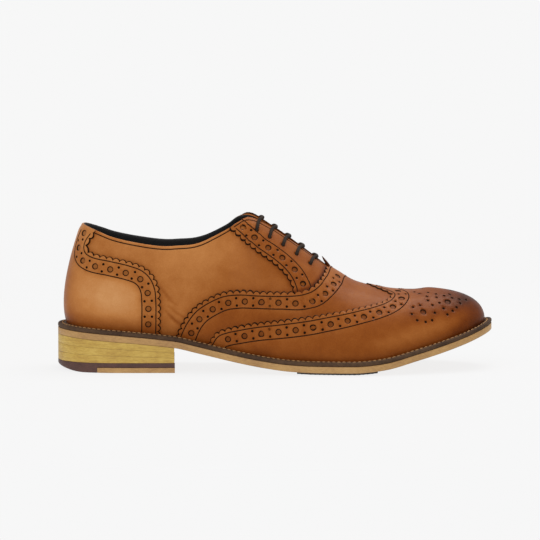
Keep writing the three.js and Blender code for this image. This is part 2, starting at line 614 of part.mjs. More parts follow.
const LOOKS = {
  tan_calf: { color: 0x9c5a2a, roughness: 0.42, metalness: 0 },
  sole_leather: { color: 0xb98f5b, roughness: 0.6, metalness: 0 },
  welt_edge: { color: 0x453428, roughness: 0.55, metalness: 0 },
  stacked_leather: { color: 0xbb9650, roughness: 0.6, metalness: 0 },
  heel_rubber: { color: 0x4e342b, roughness: 0.7, metalness: 0 },
  tread_rubber: { color: 0x1d1b1a, roughness: 0.8, metalness: 0 },
  lining: { color: 0x121111, roughness: 0.7, metalness: 0 },
  lace_cord: { color: 0x3a2a20, roughness: 0.7, metalness: 0 },
};
const FINISH = {
  outsole: "sole_leather",
  tread_pad: "tread_rubber",
  welt: "welt_edge",
  insole: "lining",
  heel_top_piece: "heel_rubber",
  heel_leather_tip: "sole_leather",
  ...Object.fromEntries(LIFTS.map((name) => [name, "stacked_leather"])),
  lace: "lace_cord",
};

// The origin is on the floor, under the middle of the outsole's length and width.
function middleSide() {
  const sides = LOOP.map(({ side, u }) => insetPoint(side, u, 0).y);
  return (Math.max(...sides) + Math.min(...sides)) / 2;
}

const shoe = new THREE.Group();
shoe.position.set(-LENGTH / 2, -middleSide(), 0);
for (const [name, solid] of Object.entries(solids)) {
  const { vertProperties, triVerts, numProp } = solid.getMesh();
  const position = new Float32Array((vertProperties.length / numProp) * 3);
  for (let i = 0; i < position.length / 3; i += 1) {
    position.set(vertProperties.subarray(i * numProp, i * numProp + 3), 3 * i);
  }
  const geometry = new THREE.BufferGeometry();
  geometry.setAttribute("position", new THREE.BufferAttribute(position, 3));
  geometry.setIndex(new THREE.BufferAttribute(triVerts, 1));
  const mesh = new THREE.Mesh(geometry, new THREE.MeshStandardMaterial(LOOKS[FINISH[name] ?? "tan_calf"]));
  mesh.name = name;
  shoe.add(mesh);
}

const part = new THREE.Group();
part.add(shoe);
export default part;
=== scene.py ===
"""A right-foot wing-tip brogue Oxford shoe in tan calf.

Its leather pieces are cut flat, punched, and then drawn over the last, as a shoemaker does it. The shoe's
sizes are in millimetres, measured from the back of the outsole, and a piece becomes metres as it is finished.
+X points to the toe, +Y to the inner side of the foot and +Z up. A side is -1 on the outer side and 1 on the inner.
"""
import math

import bmesh
import bpy
import numpy as np
from mathutils import Matrix, Vector
from mathutils.kdtree import KDTree


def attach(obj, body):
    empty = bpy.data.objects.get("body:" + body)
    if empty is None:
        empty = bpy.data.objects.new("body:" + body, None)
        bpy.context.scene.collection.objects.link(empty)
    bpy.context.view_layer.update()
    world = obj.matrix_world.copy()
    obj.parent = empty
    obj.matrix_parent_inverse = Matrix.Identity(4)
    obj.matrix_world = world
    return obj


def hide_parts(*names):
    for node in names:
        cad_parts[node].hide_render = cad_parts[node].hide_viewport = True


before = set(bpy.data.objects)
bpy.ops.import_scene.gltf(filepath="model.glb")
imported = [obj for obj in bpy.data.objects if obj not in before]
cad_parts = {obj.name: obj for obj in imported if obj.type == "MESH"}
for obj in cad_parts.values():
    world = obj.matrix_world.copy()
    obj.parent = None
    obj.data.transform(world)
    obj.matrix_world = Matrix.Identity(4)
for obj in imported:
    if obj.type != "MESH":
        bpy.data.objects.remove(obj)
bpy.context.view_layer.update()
MM = 0.001

# ------------------------------------------------------------------------------------------------- the shoe's own sizes
LENGTH = 300.0
BALL_WIDTH = 105.0
INSTEP_HEIGHT = 92.0
BACK_RISE = 24.5
TOE_SPRING = 26.5
HEEL_LENGTH = 81.0
TREAD_RISE = 1.8
TREAD_THICKNESS = 1.5
TREAD_INSET = 5.0
TREAD_START = 165.0
TREAD_END = 220.0
OUTSOLE_THICKNESS = 4.0
WELT_THICKNESS = 3.6
WELT_REACH = 7.0
TOP_PIECE_HEIGHT = 6.8
TIP_HEIGHT = 3.6
TIP_SETBACK = 28.0
LIFTS = 3
BREAST_HOLLOW = 1.8
BREAST_LEAN = 1.5
BEVEL_HEIGHT = 4.0
BEVEL_LENGTH = 20.0
SLIT_OPEN = 8.0
LACE = 2.2
EYELETS = (0.468, 0.499, 0.53, 0.561, 0.592)
# How far down the section an eyelet lies, as a share of it
EYELET_SETBACK = 0.222
# Between the welt's top and the foot of the upper
GAP = 0.3
# How far the toe bends to the inner side
BEND = 7.0
ORIGIN_X = LENGTH / 2

# How high each leather piece's face lies over the last, and how thick the leather is
FACING_LIFT = 1.2
COUNTER_LIFT = 1.2
VAMP_LIFT = 1.3
CAP_LIFT = 2.2
LEATHER = 1.3

# The broguing: distances from a gimped edge
STITCH_ROW = 2.7
COUNTER_HOLES = (7.9, 7.9)
FACING_HOLES = (6.7, 6.9, 7.5, 8.0)
VAMP_HOLES = (8.7, 8.0, 7.8, 7.4, 6.7, 7.0, 9.3, 9.8, 9.2)
CAP_HOLES = (6.9, 7.2, 7.5, 7.9, 7.9)
FAR_STITCH_ROW = 4.4
HOLE = 4.5
PINHOLE = 1.9
PINHOLE_SPREAD = 2.5
TOOTH_PITCH = 4.75
TOOTH_DEPTH = 1.95
STITCH_PITCH = 2.2
STITCH_LENGTH = 1.75
THREAD_THICKNESS = 0.62
COLLAR_STITCH = 2.2

# The foot's axis in plan: share of the length, and share of BEND
AXIS = np.array([(0, 0), (0.27, -0.1), (0.45, -0.4), (0.68, -0.15), (0.85, 0.5), (1, 1)], float)

# The underside: share of the length, share of BACK_RISE, share of TOE_SPRING
UNDERSIDE = np.array(
    [
        (0, 1, 0), (0.27, 0.675, 0), (0.32, 0.53, 0), (0.37, 0.38, 0), (0.42, 0.24, 0), (0.475, 0.115, 0),
        (0.535, 0.025, 0), (0.59, 0, 0), (0.68, 0, 0), (0.71, 0, 0.018), (0.755, 0, 0.081), (0.82, 0, 0.279),
        (0.88, 0, 0.478), (0.94, 0, 0.713), (1, 0, 1),
    ],
    float,
)

# The last's sections from heel to toe, lengths as shares of LENGTH, widths of BALL_WIDTH and heights of INSTEP_HEIGHT
COLUMNS = (
    "at", "outer", "inner", "top_at", "top_out", "top_up",
    "belly_out", "belly_up", "neck_at", "neck_out", "neck_down",
)
SECTIONS = np.array(
    [
        (0, 0, 0, 0.056, 0, 0.74, 0.054, 0.18, -0.025, 0, 0.23),
        (0.012, 0.157, 0.157, 0.064, 0.108, 0.735, 0.052, 0.18, -0.017, 0.04, 0.23),
        (0.043, 0.257, 0.257, 0.089, 0.18, 0.712, 0.044, 0.185, -0.007, 0.05, 0.23),
        (0.1, 0.319, 0.319, 0.128, 0.233, 0.68, 0.034, 0.19, 0, 0.047, 0.23),
        (0.173, 0.329, 0.326, 0.187, 0.262, 0.663, 0.03, 0.2, 0, 0.045, 0.24),
        (0.267, 0.324, 0.314, 0.267, 0.271, 0.671, 0.034, 0.2, 0, 0.052, 0.26),
        (0.347, 0.333, 0.295, 0.337, 0.243, 0.755, 0.043, 0.24, 0, 0.076, 0.28),
        (0.4, 0.352, 0.3, 0.39, 0.165, 0.885, 0.05, 0.28, -0.005, 0.115, 0.25),
        (0.44, 0.373, 0.31, 0.418, 0.09, 0.965, 0.058, 0.32, -0.015, 0.145, 0.15),
        (0.47, 0.392, 0.324, 0.444, 0, 1.003, 0.066, 0.34, -0.027, 0.16, 0),
        (0.507, 0.416, 0.348, 0.496, 0, 0.925, 0.067, 0.34, -0.03, 0.155, -0.062),
        (0.56, 0.45, 0.39, 0.557, 0, 0.8, 0.066, 0.31, -0.03, 0.167, -0.07),
        (0.613, 0.481, 0.438, 0.62, 0, 0.65, 0.057, 0.27, -0.027, 0.19, -0.055),
        (0.667, 0.498, 0.482, 0.667, 0, 0.56, 0.043, 0.23, -0.015, 0.219, -0.018),
        (0.723, 0.492, 0.502, 0.723, 0, 0.49, 0.038, 0.195, 0, 0.229, 0),
        (0.793, 0.449, 0.46, 0.785, 0, 0.42, 0.033, 0.175, 0, 0.225, 0),
        (0.86, 0.388, 0.402, 0.815, 0, 0.389, 0.027, 0.165, 0.018, 0.2, 0.002),
        (0.913, 0.327, 0.342, 0.835, 0, 0.378, 0.021, 0.155, 0.041, 0.166, 0.012),
        (0.957, 0.256, 0.269, 0.848, 0, 0.373, 0.016, 0.145, 0.061, 0.118, 0.02),
        (0.988, 0.154, 0.161, 0.857, 0, 0.365, 0.011, 0.135, 0.076, 0.062, 0.025),
        (1, 0, 0, 0.86, 0, 0.362, 0.0095, 0.13, 0.083, 0, 0.028),
    ],
    float,
)
# Row numbers: the toe, the two ends of the slit, and where the ridge starts
TOE = len(SECTIONS) - 1
SLIT_ROWS = (9.0, 12.0)
RIDGE_ROW = 12.0

# The pieces' edges seen from the side: shares of the length from the back, and of INSTEP_HEIGHT above the welt
COUNTER_EDGE = [
    (0.101, 0.86), (0.097, 0.78), (0.086, 0.7), (0.071, 0.62), (0.071, 0.58), (0.084, 0.556), (0.125, 0.541),
    (0.17, 0.521), (0.2, 0.494), (0.222, 0.436), (0.234, 0.35), (0.237, 0.25), (0.237, 0.12), (0.236, -0.03),
]
FACING_EDGE = [
    (0.387, 0.93), (0.399, 0.89), (0.4154, 0.855), (0.4316, 0.818), (0.4536, 0.773), (0.4818, 0.725), (0.508, 0.671),
    (0.5275, 0.61), (0.5378, 0.55), (0.5425, 0.5), (0.5455, 0.44),
]
VAMP_EDGE = [
    (0.272, -0.03), (0.281, 0.05), (0.293, 0.135), (0.313, 0.237), (0.341, 0.325), (0.38, 0.41), (0.42, 0.452),
    (0.46, 0.47), (0.535, 0.498), (0.561, 0.51), (0.582, 0.533), (0.598, 0.572), (0.61, 0.617), (0.618, 0.664),
]
CAP_EDGE = [
    (0.345, -0.03), (0.352, 0.03), (0.366, 0.1), (0.39, 0.15), (0.413, 0.183), (0.44, 0.218), (0.4704, 0.25),
    (0.511, 0.284), (0.5448, 0.307), (0.5845, 0.331), (0.6133, 0.346), (0.6704, 0.375), (0.7285, 0.4), (0.7489, 0.409),
    (0.7615, 0.421), (0.7663, 0.437), (0.758, 0.459), (0.7439, 0.483), (0.7304, 0.505), (0.715, 0.528),
]


# -------------------------------------------------------------------------------------------------------- smooth tables
def hermite(a, b, slope_a, slope_b, t):
    s = 1 - t
    return a * s * s * (1 + 2 * t) + b * t * t * (3 - 2 * t) + slope_a * t * s * s - slope_b * t * t * s


def level(at, value, x):
    """A curve through a table that never overshoots, so that a level stretch stays level."""
    rise = np.diff(value) / np.diff(at)
    before, after = rise[:-1], rise[1:]
    total = np.where(before + after == 0, 1, before + after)
    inner = np.where(before * after <= 0, 0, 2 * before * after / total)
    slope = np.concatenate([rise[:1], inner, rise[-1:]])
    x = np.clip(x, at[0], at[-1])
    i = np.clip(np.searchsorted(at, x, side="right") - 1, 0, len(at) - 2)
    span = at[i + 1] - at[i]
    return hermite(value[i], value[i + 1], slope[i] * span, slope[i + 1] * span, (x - at[i]) / span)


def underside(x):
    share = np.asarray(x) / LENGTH
    heel = level(UNDERSIDE[:, 0], UNDERSIDE[:, 1], share)
    toe = level(UNDERSIDE[:, 0], UNDERSIDE[:, 2], share)
    return TREAD_RISE + (BACK_RISE - TREAD_RISE) * heel + (TOE_SPRING - TREAD_RISE) * toe


def outsole_top(x):
    return underside(x) + OUTSOLE_THICKNESS


def welt_top(x):
    return outsole_top(x) + WELT_THICKNESS


def axis_side(x):
    return BEND * level(AXIS[:, 0], AXIS[:, 1], np.asarray(x) / LENGTH)


def smooth_step(low, high, x):
    t = np.clip((x - low) / (high - low), 0, 1)
    return t * t * (3 - 2 * t)


def bell(x, width):
    return np.exp(-((x / width) ** 2))


def run_along(points):
    """How far along a line of points each of them lies"""
    return np.concatenate([[0], np.cumsum(np.linalg.norm(np.diff(points, axis=0), axis=1))])


HALF_WIDTHS = (SECTIONS[:, 1] + SECTIONS[:, 2]) / 2
KNOTS = run_along(np.column_stack([SECTIONS[:, 0] * LENGTH, HALF_WIDTHS * BALL_WIDTH]))


def column(name, u, across=False, other=None):
    """A column of SECTIONS at row number u. Beyond heel and toe the other side goes on, which rounds both ends."""
    value = SECTIONS[:, COLUMNS.index(name)]
    beyond = SECTIONS[:, COLUMNS.index(other or name)] * (-1 if across else 1)
    value = np.concatenate([beyond[1:2], value, beyond[-2:-1]])
    knot = np.concatenate([[-KNOTS[1]], KNOTS, [2 * KNOTS[-1] - KNOTS[-2]]])
    gap = np.diff(knot)
    rise = np.diff(value) / gap
    slope = (rise[:-1] * gap[1:] + rise[1:] * gap[:-1]) / (gap[:-1] + gap[1:])
    i = np.clip(np.floor(u).astype(int), 0, TOE - 1)
    span = gap[i + 1]
    return hermite(value[i + 1], value[i + 2], slope[i] * span, slope[i + 1] * span, u - i)


def edge_point(side, u):
    """The outsole's edge, in plan, before the bend of the foot's axis"""
    width, other = ("outer", "inner") if side < 0 else ("inner", "outer")
    return np.stack([LENGTH * column("at", u), side * BALL_WIDTH * column(width, u, True, other)], -1)


def outward(side, u):
    step = 0.02
    along = edge_point(side, np.minimum(u + step, TOE)) - edge_point(side, np.maximum(u - step, 0))
    out = side * np.stack([-along[..., 1], along[..., 0]], -1)
    out /= np.linalg.norm(out, axis=-1, keepdims=True)
    out[u < step] = (-1, 0)
    out[u > TOE - step] = (1, 0)
    return out


def inset_point(side, u, inset):
    p = edge_point(side, u) - outward(side, u) * np.asarray(inset)[..., None]
    p[..., 1] += axis_side(p[..., 0])
    return p


# ------------------------------------------------------------------------------------------------------------- the last
SAMPLES = 4001
ROWS = np.linspace(0, TOE, SAMPLES)


def slit_half(u):
    start, end = SLIT_ROWS
    return SLIT_OPEN / 2 * smooth_step(start - 1.6, start + 0.4, u) * np.clip((end - u) * 2, 0, 1)


def section_table(side, slit):
    """The four points that shape each section: foot, belly, neck and top edge"""
    u = ROWS
    out = outward(side, u)
    foot = edge_point(side, u) - WELT_REACH * out
    foot_up = welt_top(foot[:, 0]) + GAP
    belly = foot + out * (BALL_WIDTH * column("belly_out", u))[:, None]
    top_x = LENGTH * column("top_at", u)
    top_side = BALL_WIDTH * np.maximum(column("top_out", u, True), 0) + (slit_half(u) if slit else 0)
    top_up = welt_top(top_x) + GAP + INSTEP_HEIGHT * column("top_up", u)
    neck_x = top_x + LENGTH * column("neck_at", u)
    neck_side = top_side + BALL_WIDTH * column("neck_out", u, True)
    return np.stack(
        [
            np.column_stack([foot, foot_up]),
            np.column_stack([belly, foot_up + INSTEP_HEIGHT * column("belly_up", u)]),
            np.column_stack([neck_x, side * neck_side, top_up - INSTEP_HEIGHT * column("neck_down", u)]),
            np.column_stack([top_x, side * top_side, top_up]),
        ],
        1,
    )


LAST = {slit: np.stack([section_table(-1, slit), section_table(1, slit)]) for slit in (True, False)}


def skin(side, u, v, slit=True):
    """Points of the last's surface at row number u and share v of its section"""
    place = np.clip(u, 0, TOE) / TOE * (SAMPLES - 1)
    i = np.minimum(place.astype(int), SAMPLES - 2)
    t = (place - i)[:, None, None]
    table = LAST[slit]
    half = (side > 0).astype(int)
    points = table[half, i] * (1 - t) + table[half, i + 1] * t
    v = v[:, None]
    w = 1 - v
    p = points[:, 0] * w**3 + points[:, 1] * 3 * w * w * v + points[:, 2] * 3 * w * v * v + points[:, 3] * v**3
    p[:, 1] += axis_side(p[:, 0])
    return p


def skin_normal(side, u, v, slit=True):
    step = 0.01
    near = np.clip(u, 2 * step, TOE - 2 * step)
    mid = np.clip(v, step, 1 - step)
    along = skin(side, near + step, mid, slit) - skin(side, near - step, mid, slit)
    up = skin(side, near, mid + step, slit) - skin(side, near, mid - step, slit)
    n = -side[:, None] * np.cross(along, up)
    n /= np.linalg.norm(n, axis=1, keepdims=True)
    # Both sides share the direction where they meet: at heel and toe, and along the ridge.
    shared = np.clip(u / 0.06, 0, 1) * np.clip((TOE - u) / 0.06, 0, 1)
    shared *= np.where(u >= RIDGE_ROW, np.clip((1 - v) / 0.03, 0, 1), 1)
    n[:, 1] *= shared
    return n / np.linalg.norm(n, axis=1, keepdims=True)


def on_last(side, u, v, lift, slit=True):
    """Points over the last, and their directions out of it. Below the section's foot the leather goes straight down."""
    side, u, v, lift = np.broadcast_arrays(*(np.atleast_1d(np.asarray(a, float)) for a in (side, u, v, lift)))
    held = np.maximum(v, 0)
    n = skin_normal(side, u, held, slit)
    p = skin(side, u, held, slit) + n * lift[:, None]
    p[:, 2] += np.minimum(v, 0) * 90
    return p, n


def _middle_side():
    sides = np.concatenate([inset_point(side, np.arange(0, TOE + 0.1, 0.5), 0.0)[:, 1] for side in (-1, 1)])
    return (sides.max() + sides.min()) / 2


ORIGIN_Y = float(_middle_side())


# --------------------------------------------------------------------------------------------------- flat pattern paper
def girth_length(u):
    """The section's length from the top edge to the foot, the mean of both sides"""
    steps = np.linspace(0, 1, 25)
    total = 0
    for side in (-1, 1):
        points = np.stack([skin(np.full(len(u), float(side)), u, np.full(len(u), s)) for s in steps])
        total = total + np.linalg.norm(np.diff(points, axis=0), axis=2).sum(0)
    return total / 2


def run_length(v):
    return run_along(skin(np.full(SAMPLES, -1.0), ROWS, np.full(SAMPLES, v)))


class Pattern:
    """Flat paper on which a piece is cut. place() says where a flat point comes to lie on the last."""

    def mirrored(self, line):
        """The same flat line on the shoe's other side"""
        return line * self.MIRROR

    def both(self, line):
        return np.vstack([line, self.mirrored(line)])

    def lay(self, flat, lift=0.0):
        return on_last(*self.place(np.asarray(flat, float)), lift)

    def grain(self, flat):
        """Where flat points come to lie, their directions out, and what turns moves on the last into moves on paper"""
        step = 0.25
        flat = np.asarray(flat, float)
        p, n = self.lay(flat)
        a = (self.lay(flat + (step, 0))[0] - self.lay(flat - (step, 0))[0]) / (2 * step)
        b = (self.lay(flat + (0, step))[0] - self.lay(flat - (0, step))[0]) / (2 * step)
        aa, ab, bb = (a * a).sum(1), (a * b).sum(1), (b * b).sum(1)
        det = np.maximum(aa * bb - ab * ab, 1e-6)
        back = np.stack([bb[:, None] * a - ab[:, None] * b, aa[:, None] * b - ab[:, None] * a], 1) / det[:, None, None]
        return p, n, back

    def run(self, flat):
        """How far along a flat line each of its points lies, measured on the last"""
        return run_along(self.lay(flat)[0])

    def even(self, flat, pitch, start=0.0, count=None):
        """Points of a flat line at an even pitch on the last"""
        run = self.run(flat)
        if count is None:
            steps = max(int(round(run[-1] / pitch)), 2)
            at = np.linspace(0, run[-1], steps + 1)
        else:
            at = start + pitch * np.arange(count)
        return np.column_stack([np.interp(at, run, flat[:, 0]), np.interp(at, run, flat[:, 1])])

    def across(self, flat, distance, trim=True):
        """A flat line moved to its left by a distance on the last. Distances may differ along it."""
        flat = np.asarray(flat, float)
        distance = np.broadcast_to(np.asarray(distance, float), len(flat))
        steps = max(int(math.ceil(np.abs(distance).max() / 1.2)), 1)
        p, n, back = self.grain(flat)
        along = np.gradient(p, axis=0)
        way = np.cross(n, along)
        way /= np.linalg.norm(way, axis=1, keepdims=True)
        moved = flat.copy()
        for _ in range(steps):
            _, n, back = self.grain(moved)
            way = way - n * (way * n).sum(1)[:, None]
            way /= np.linalg.norm(way, axis=1, keepdims=True)
            moved = moved + np.einsum("ijk,ik->ij", back, way) * (distance / steps)[:, None]
        if not trim:
            return moved
        now = self.lay(moved)[0]
        nearest = np.linalg.norm(now[:, None] - p[None], axis=2).min(1)
        return moved[nearest > 0.93 * np.abs(distance)]

    def from_side(self, edge, lift):
        """Lays an edge that is given as it shows from the side on the outer side of the last, as a smooth flat line."""
        points = np.array([(at * LENGTH, welt_top(at * LENGTH) + up * INSTEP_HEIGHT) for at, up in edge])
        return self.from_view(smooth_line(points, 12), 0.0, lift)

    def from_view(self, wanted, tilt, lift):
        """Flat places of points that show at a distance along and a height, seen from the side and a little above"""
        wanted = np.asarray(wanted, float)
        aim = np.array([[1, 0, 0], [0, tilt, 1.0]]).T
        grids = np.meshgrid(np.arange(0, TOE, 0.05), np.linspace(-0.05, 1, 161), indexing="ij")
        u, v = (grid.ravel() for grid in grids)
        seen = on_last(-1, u, v, lift)[0] @ aim
        first = [int(np.argmin(((seen - goal) ** 2).sum(1))) for goal in wanted]
        at = np.column_stack([u[first], v[first]])
        miss = np.linalg.norm(seen[first] - wanted, axis=1)
        for _ in range(8):
            here = on_last(-1, at[:, 0], at[:, 1], lift)[0] @ aim
            du = (on_last(-1, at[:, 0] + 0.01, at[:, 1], lift)[0] @ aim - here) / 0.01
            dv = (on_last(-1, at[:, 0], at[:, 1] + 0.002, lift)[0] @ aim - here) / 0.002
            det = du[:, 0] * dv[:, 1] - du[:, 1] * dv[:, 0]
            det = np.where(np.abs(det) < 20, 1e9, det)
            off = wanted - here
            move_u = off[:, 0] * dv[:, 1] - off[:, 1] * dv[:, 0]
            move_v = du[:, 0] * off[:, 1] - du[:, 1] * off[:, 0]
            move = np.clip(np.column_stack([move_u, move_v]) / det[:, None], (-0.1, -0.02), (0.1, 0.02))
            at = np.clip(at + move, (0, -0.06), (TOE, 1))
        keep = miss < 0.9
        return self.flatten(-1.0, at[keep, 0], at[keep, 1])


class Backpart(Pattern):
    """Paper for quarters and counter: distance from the back seam, and share of the section"""

    HEIGHT = 80.0
    MIRROR = (-1, 1)

    def __init__(self):
        self.runs = run_length(0.45)

    def place(self, flat):
        side = np.where(flat[:, 0] < 0, -1.0, 1.0)
        return side, np.interp(np.abs(flat[:, 0]), self.runs, ROWS), flat[:, 1] / self.HEIGHT

    def flatten(self, side, u, v):
        return np.stack([side * np.interp(u, ROWS, self.runs), np.asarray(v) * self.HEIGHT], -1)


class Forepart(Pattern):
    """Paper for facings, vamp and toe cap: distance along the ridge, and distance down either side of it

    Round the toe the sections fan out from the end of the ridge. TURN is each section's angle to it, in degrees.
    """

    TURN = [90] * 15 + [88, 75, 55, 34, 16, 0]
    MIRROR = (1, -1)

    def __init__(self, side=None):
        self.side = side
        self.ridge = run_length(1.0)
        self.girth = girth_length(ROWS)
        turn = np.radians(np.interp(ROWS, np.arange(TOE + 1), self.TURN))
        self.forward, self.sideways = np.cos(turn), np.sin(turn)
        self.forward[ROWS <= 14] = 0

    def frame_at(self, u):
        """Where a section leaves the ridge, and its direction there"""
        return (np.interp(u, ROWS, values) for values in (self.ridge, self.forward, self.sideways))

    def place(self, flat):
        side = np.where(flat[:, 1] < 0, -1.0, 1.0) if self.side is None else np.full(len(flat), float(self.side))
        x, y = flat[:, 0], np.abs(flat[:, 1])
        low, high = np.full(len(x), 4.0), np.full(len(x), float(TOE))
        for _ in range(26):
            u = (low + high) / 2
            ridge, forward, sideways = self.frame_at(u)
            before = (x - ridge) * sideways > y * forward
            low, high = np.where(before, u, low), np.where(before, high, u)
        u = (low + high) / 2
        ridge, forward, sideways = self.frame_at(u)
        return side, u, 1 - ((x - ridge) * forward + y * sideways) / np.interp(u, ROWS, self.girth)

    def flatten(self, side, u, v):
        reach = (1 - np.asarray(v)) * np.interp(u, ROWS, self.girth)
        ridge, forward, sideways = self.frame_at(u)
        return np.stack([ridge + reach * forward, side * reach * sideways], -1)


def smooth_line(points, steps=24):
    """A smooth flat line through a few points"""
    points = np.asarray(points, float)
    ends = np.vstack([2 * points[0] - points[1], points, 2 * points[-1] - points[-2]])
    t = np.linspace(0, 1, steps, endpoint=False)[:, None]
    line = []
    for k in range(1, len(ends) - 2):
        a, b, c, d = ends[k - 1 : k + 3]
        lengths = [max(np.linalg.norm(q - p), 1e-6) ** 0.5 for p, q in ((a, b), (b, c), (c, d))]
        slope_b = ((b - a) / lengths[0] - (c - a) / (lengths[0] + lengths[1]) + (c - b) / lengths[1]) * lengths[1]
        slope_c = ((c - b) / lengths[1] - (d - b) / (lengths[1] + lengths[2]) + (d - c) / lengths[2]) * lengths[1]
        line.append(hermite(b, c, slope_b, slope_c, t))
    return np.vstack(line + [ends[-2][None]])


# ----------------------------------------------------------------------------------------------------- finishing pieces
def to_metres(points):
    return (np.asarray(points, float) - (ORIGIN_X, ORIGIN_Y, 0)) * MM


def read_points(bm):
    return np.array([v.co[:] for v in bm.verts])


def set_points(bm, points):
    for vert, point in zip(bm.verts, np.asarray(points).tolist()):
        vert.co = point


def finish_piece(bm, name, material, replaces=(), marks=None, smooth=True):
    """Turns a bmesh in metres into a piece of the shoe. Marks are named numbers for each vertex, for the material."""
    mesh = bpy.data.meshes.new(name)
    bm.to_mesh(mesh)
    bm.free()
    for mark, values in (marks or {}).items():
        mesh.attributes.new(mark, "FLOAT", "POINT").data.foreach_set("value", np.asarray(values, np.float32))
    mesh.polygons.foreach_set("use_smooth", np.full(len(mesh.polygons), smooth))
    mesh.materials.append(material)
    piece = bpy.data.objects.new(name, mesh)
    bpy.context.scene.collection.objects.link(piece)
    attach(piece, "root")
    if replaces:
        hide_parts(*replaces)
    return piece


def face_outwards(bm, directions):
    """Turns all faces over where they look into the shoe. Directions are one for each vertex, out of the shoe."""
    bm.normal_update()
    bm.verts.index_update()
    score = sum(
        face.calc_area() * face.normal.dot(Vector(directions[face.verts[0].index])) for face in bm.faces
    )
    if score < 0:
        bmesh.ops.reverse_faces(bm, faces=bm.faces[:])


def draped_grid(columns, rows, shape):
    """A grid whose points and directions out come from shape(across, up), both from 0 to 1"""
    bm = bmesh.new()
    bmesh.ops.create_grid(bm, x_segments=columns, y_segments=rows, size=0.5)
    points, directions = shape(*(read_points(bm)[:, :2] + 0.5).T)
    set_points(bm, to_metres(points))
    face_outwards(bm, directions)
    return bm


def start_chain(bm, points):
    return [bm.verts.new((x, y, 0)) for x, y in points]


def chain_edges(bm, chain, closed=True):
    """The edges along a chain of vertices, drawn where they are missing"""
    ends = chain[1:] + chain[:1] if closed else chain[1:]
    return [bm.edges.get(pair) or bm.edges.new(pair) for pair in zip(chain, ends)]


def grow(bm, edges, verts):
    """Extrudes edges, and returns what grew from each of some vertices, and the new edges."""
    grown = bmesh.ops.extrude_edge_only(bm, edges=edges)["geom"]
    fresh = {v for v in grown if isinstance(v, bmesh.types.BMVert)}
    verts = [next(e.other_vert(v) for e in v.link_edges if e.other_vert(v) in fresh) for v in verts]
    return verts, [e for e in grown if isinstance(e, bmesh.types.BMEdge)]


def draw_up(bm, chain, points, closed=True):
    """Extrudes a chain of vertices to new points, and returns the new chain."""
    chain, _ = grow(bm, chain_edges(bm, chain, closed), chain)
    for vert, point in zip(chain, np.asarray(points).tolist()):
        vert.co = point
    return chain


def at_height(points, height):
    return np.column_stack([points, np.broadcast_to(height, len(points))])


def tube(bm, rings):
    """A closed tube through rings of points"""
    chain = bmesh.ops.create_circle(bm, cap_ends=True, segments=len(rings[0]), radius=1)["verts"]
    for vert, point in zip(chain, np.asarray(rings[0]).tolist()):
        vert.co = point
    for ring in rings[1:]:
        chain = draw_up(bm, chain, ring)
    bmesh.ops.holes_fill(bm, edges=chain_edges(bm, chain), sides=0)


def slice_at(bm, axis, at):
    """Cuts all faces along a plane square to an axis."""
    place, way = [0, 0, 0], [0, 0, 0]
    place[axis], way[axis] = at, 1
    everything = bm.verts[:] + bm.edges[:] + bm.faces[:]
    bmesh.ops.bisect_plane(bm, geom=everything, dist=1e-3, plane_co=place, plane_no=way)


def punch(bm, pattern, centre, radius, segments):
    """Adds the ring of a punched hole that is round on the last, and returns its area on the paper."""
    _, _, back = pattern.grain(np.array([centre]))
    p = pattern.lay(np.array([centre, np.add(centre, (0.2, 0)), np.add(centre, (0, 0.2))]))[0]
    first = p[1] - p[0]
    first /= np.linalg.norm(first)
    second = p[2] - p[0]
    second -= first * second.dot(first)
    second /= np.linalg.norm(second)
    ring = bmesh.ops.create_circle(bm, cap_ends=False, segments=segments, radius=radius)["verts"]
    turn = back[0] @ np.column_stack([first, second])
    for vert in ring:
        x, y = turn @ (vert.co.x, vert.co.y)
        vert.co = (centre[0] + x, centre[1] + y, 0)
    return segments / 2 * math.sin(2 * math.pi / segments) * radius**2 * abs(np.linalg.det(turn))


def flat_area(loop):
    """The area inside a flat closed line"""
    x, y = np.asarray(loop).T
    return float(x @ np.roll(y, -1) - y @ np.roll(x, -1)) / 2


def rim_of(bm, edges, thickness):
    """Rounds a cut edge over and takes it down to what lies beneath."""
    ways = {}
    for edge in edges:
        a, b = edge.verts
        along = (b.co - a.co).xy
        way = Vector((along.y, -along.x)).normalized()
        inner = edge.link_faces[0].calc_center_median().xy - a.co.xy
        if way.dot(inner) > 0:
            way = -way
        for v in edge.verts:
            ways[v] = ways.get(v, Vector((0, 0))) + way
    for reach, drop in ((RIM_REACH * 0.3, 0.16), (RIM_REACH * 0.7, 0.7), (0.05, thickness - 0.86)):
        fresh, edges = grow(bm, edges, ways)
        moved = {}
        for (old, way), new in zip(ways.items(), fresh):
            way = way.normalized() if way.length > 1e-6 else way
            new.co = (old.co.x + way.x * reach, old.co.y + way.y * reach, old.co.z - drop)
            moved[new] = way
        ways = moved


def nearest(points, targets):
    """The distance from each point to the nearest of some targets"""
    tree = KDTree(len(targets))
    for k, target in enumerate(targets):
        tree.insert(target, k)
    tree.balance()
    return np.array([tree.find(p)[2] for p in points])


# A hole goes down in steps: how much each ring shrinks, and how deep it drops
HOLE_STEPS = ((0.94, 0.16), (0.78, 0.46), (0.86, 0.06))
PINHOLE_STEPS = ((0.92, 0.15), (0.8, 0.5))
LARGE_RADIUS = 1.2
# How far a cut edge reaches out as it rounds over, and how near to a gimped line it is painted dark, as its dyed cut
# edge and painted shadow
RIM_REACH = 0.78
GIMP_DARK = 3.2
# Turns of the paper that are tried until a piece fills without a miss
FILL_TURNS = (0.0, 0.31, 0.73, 1.17, 1.9)
FILL_MISS = 0.0012


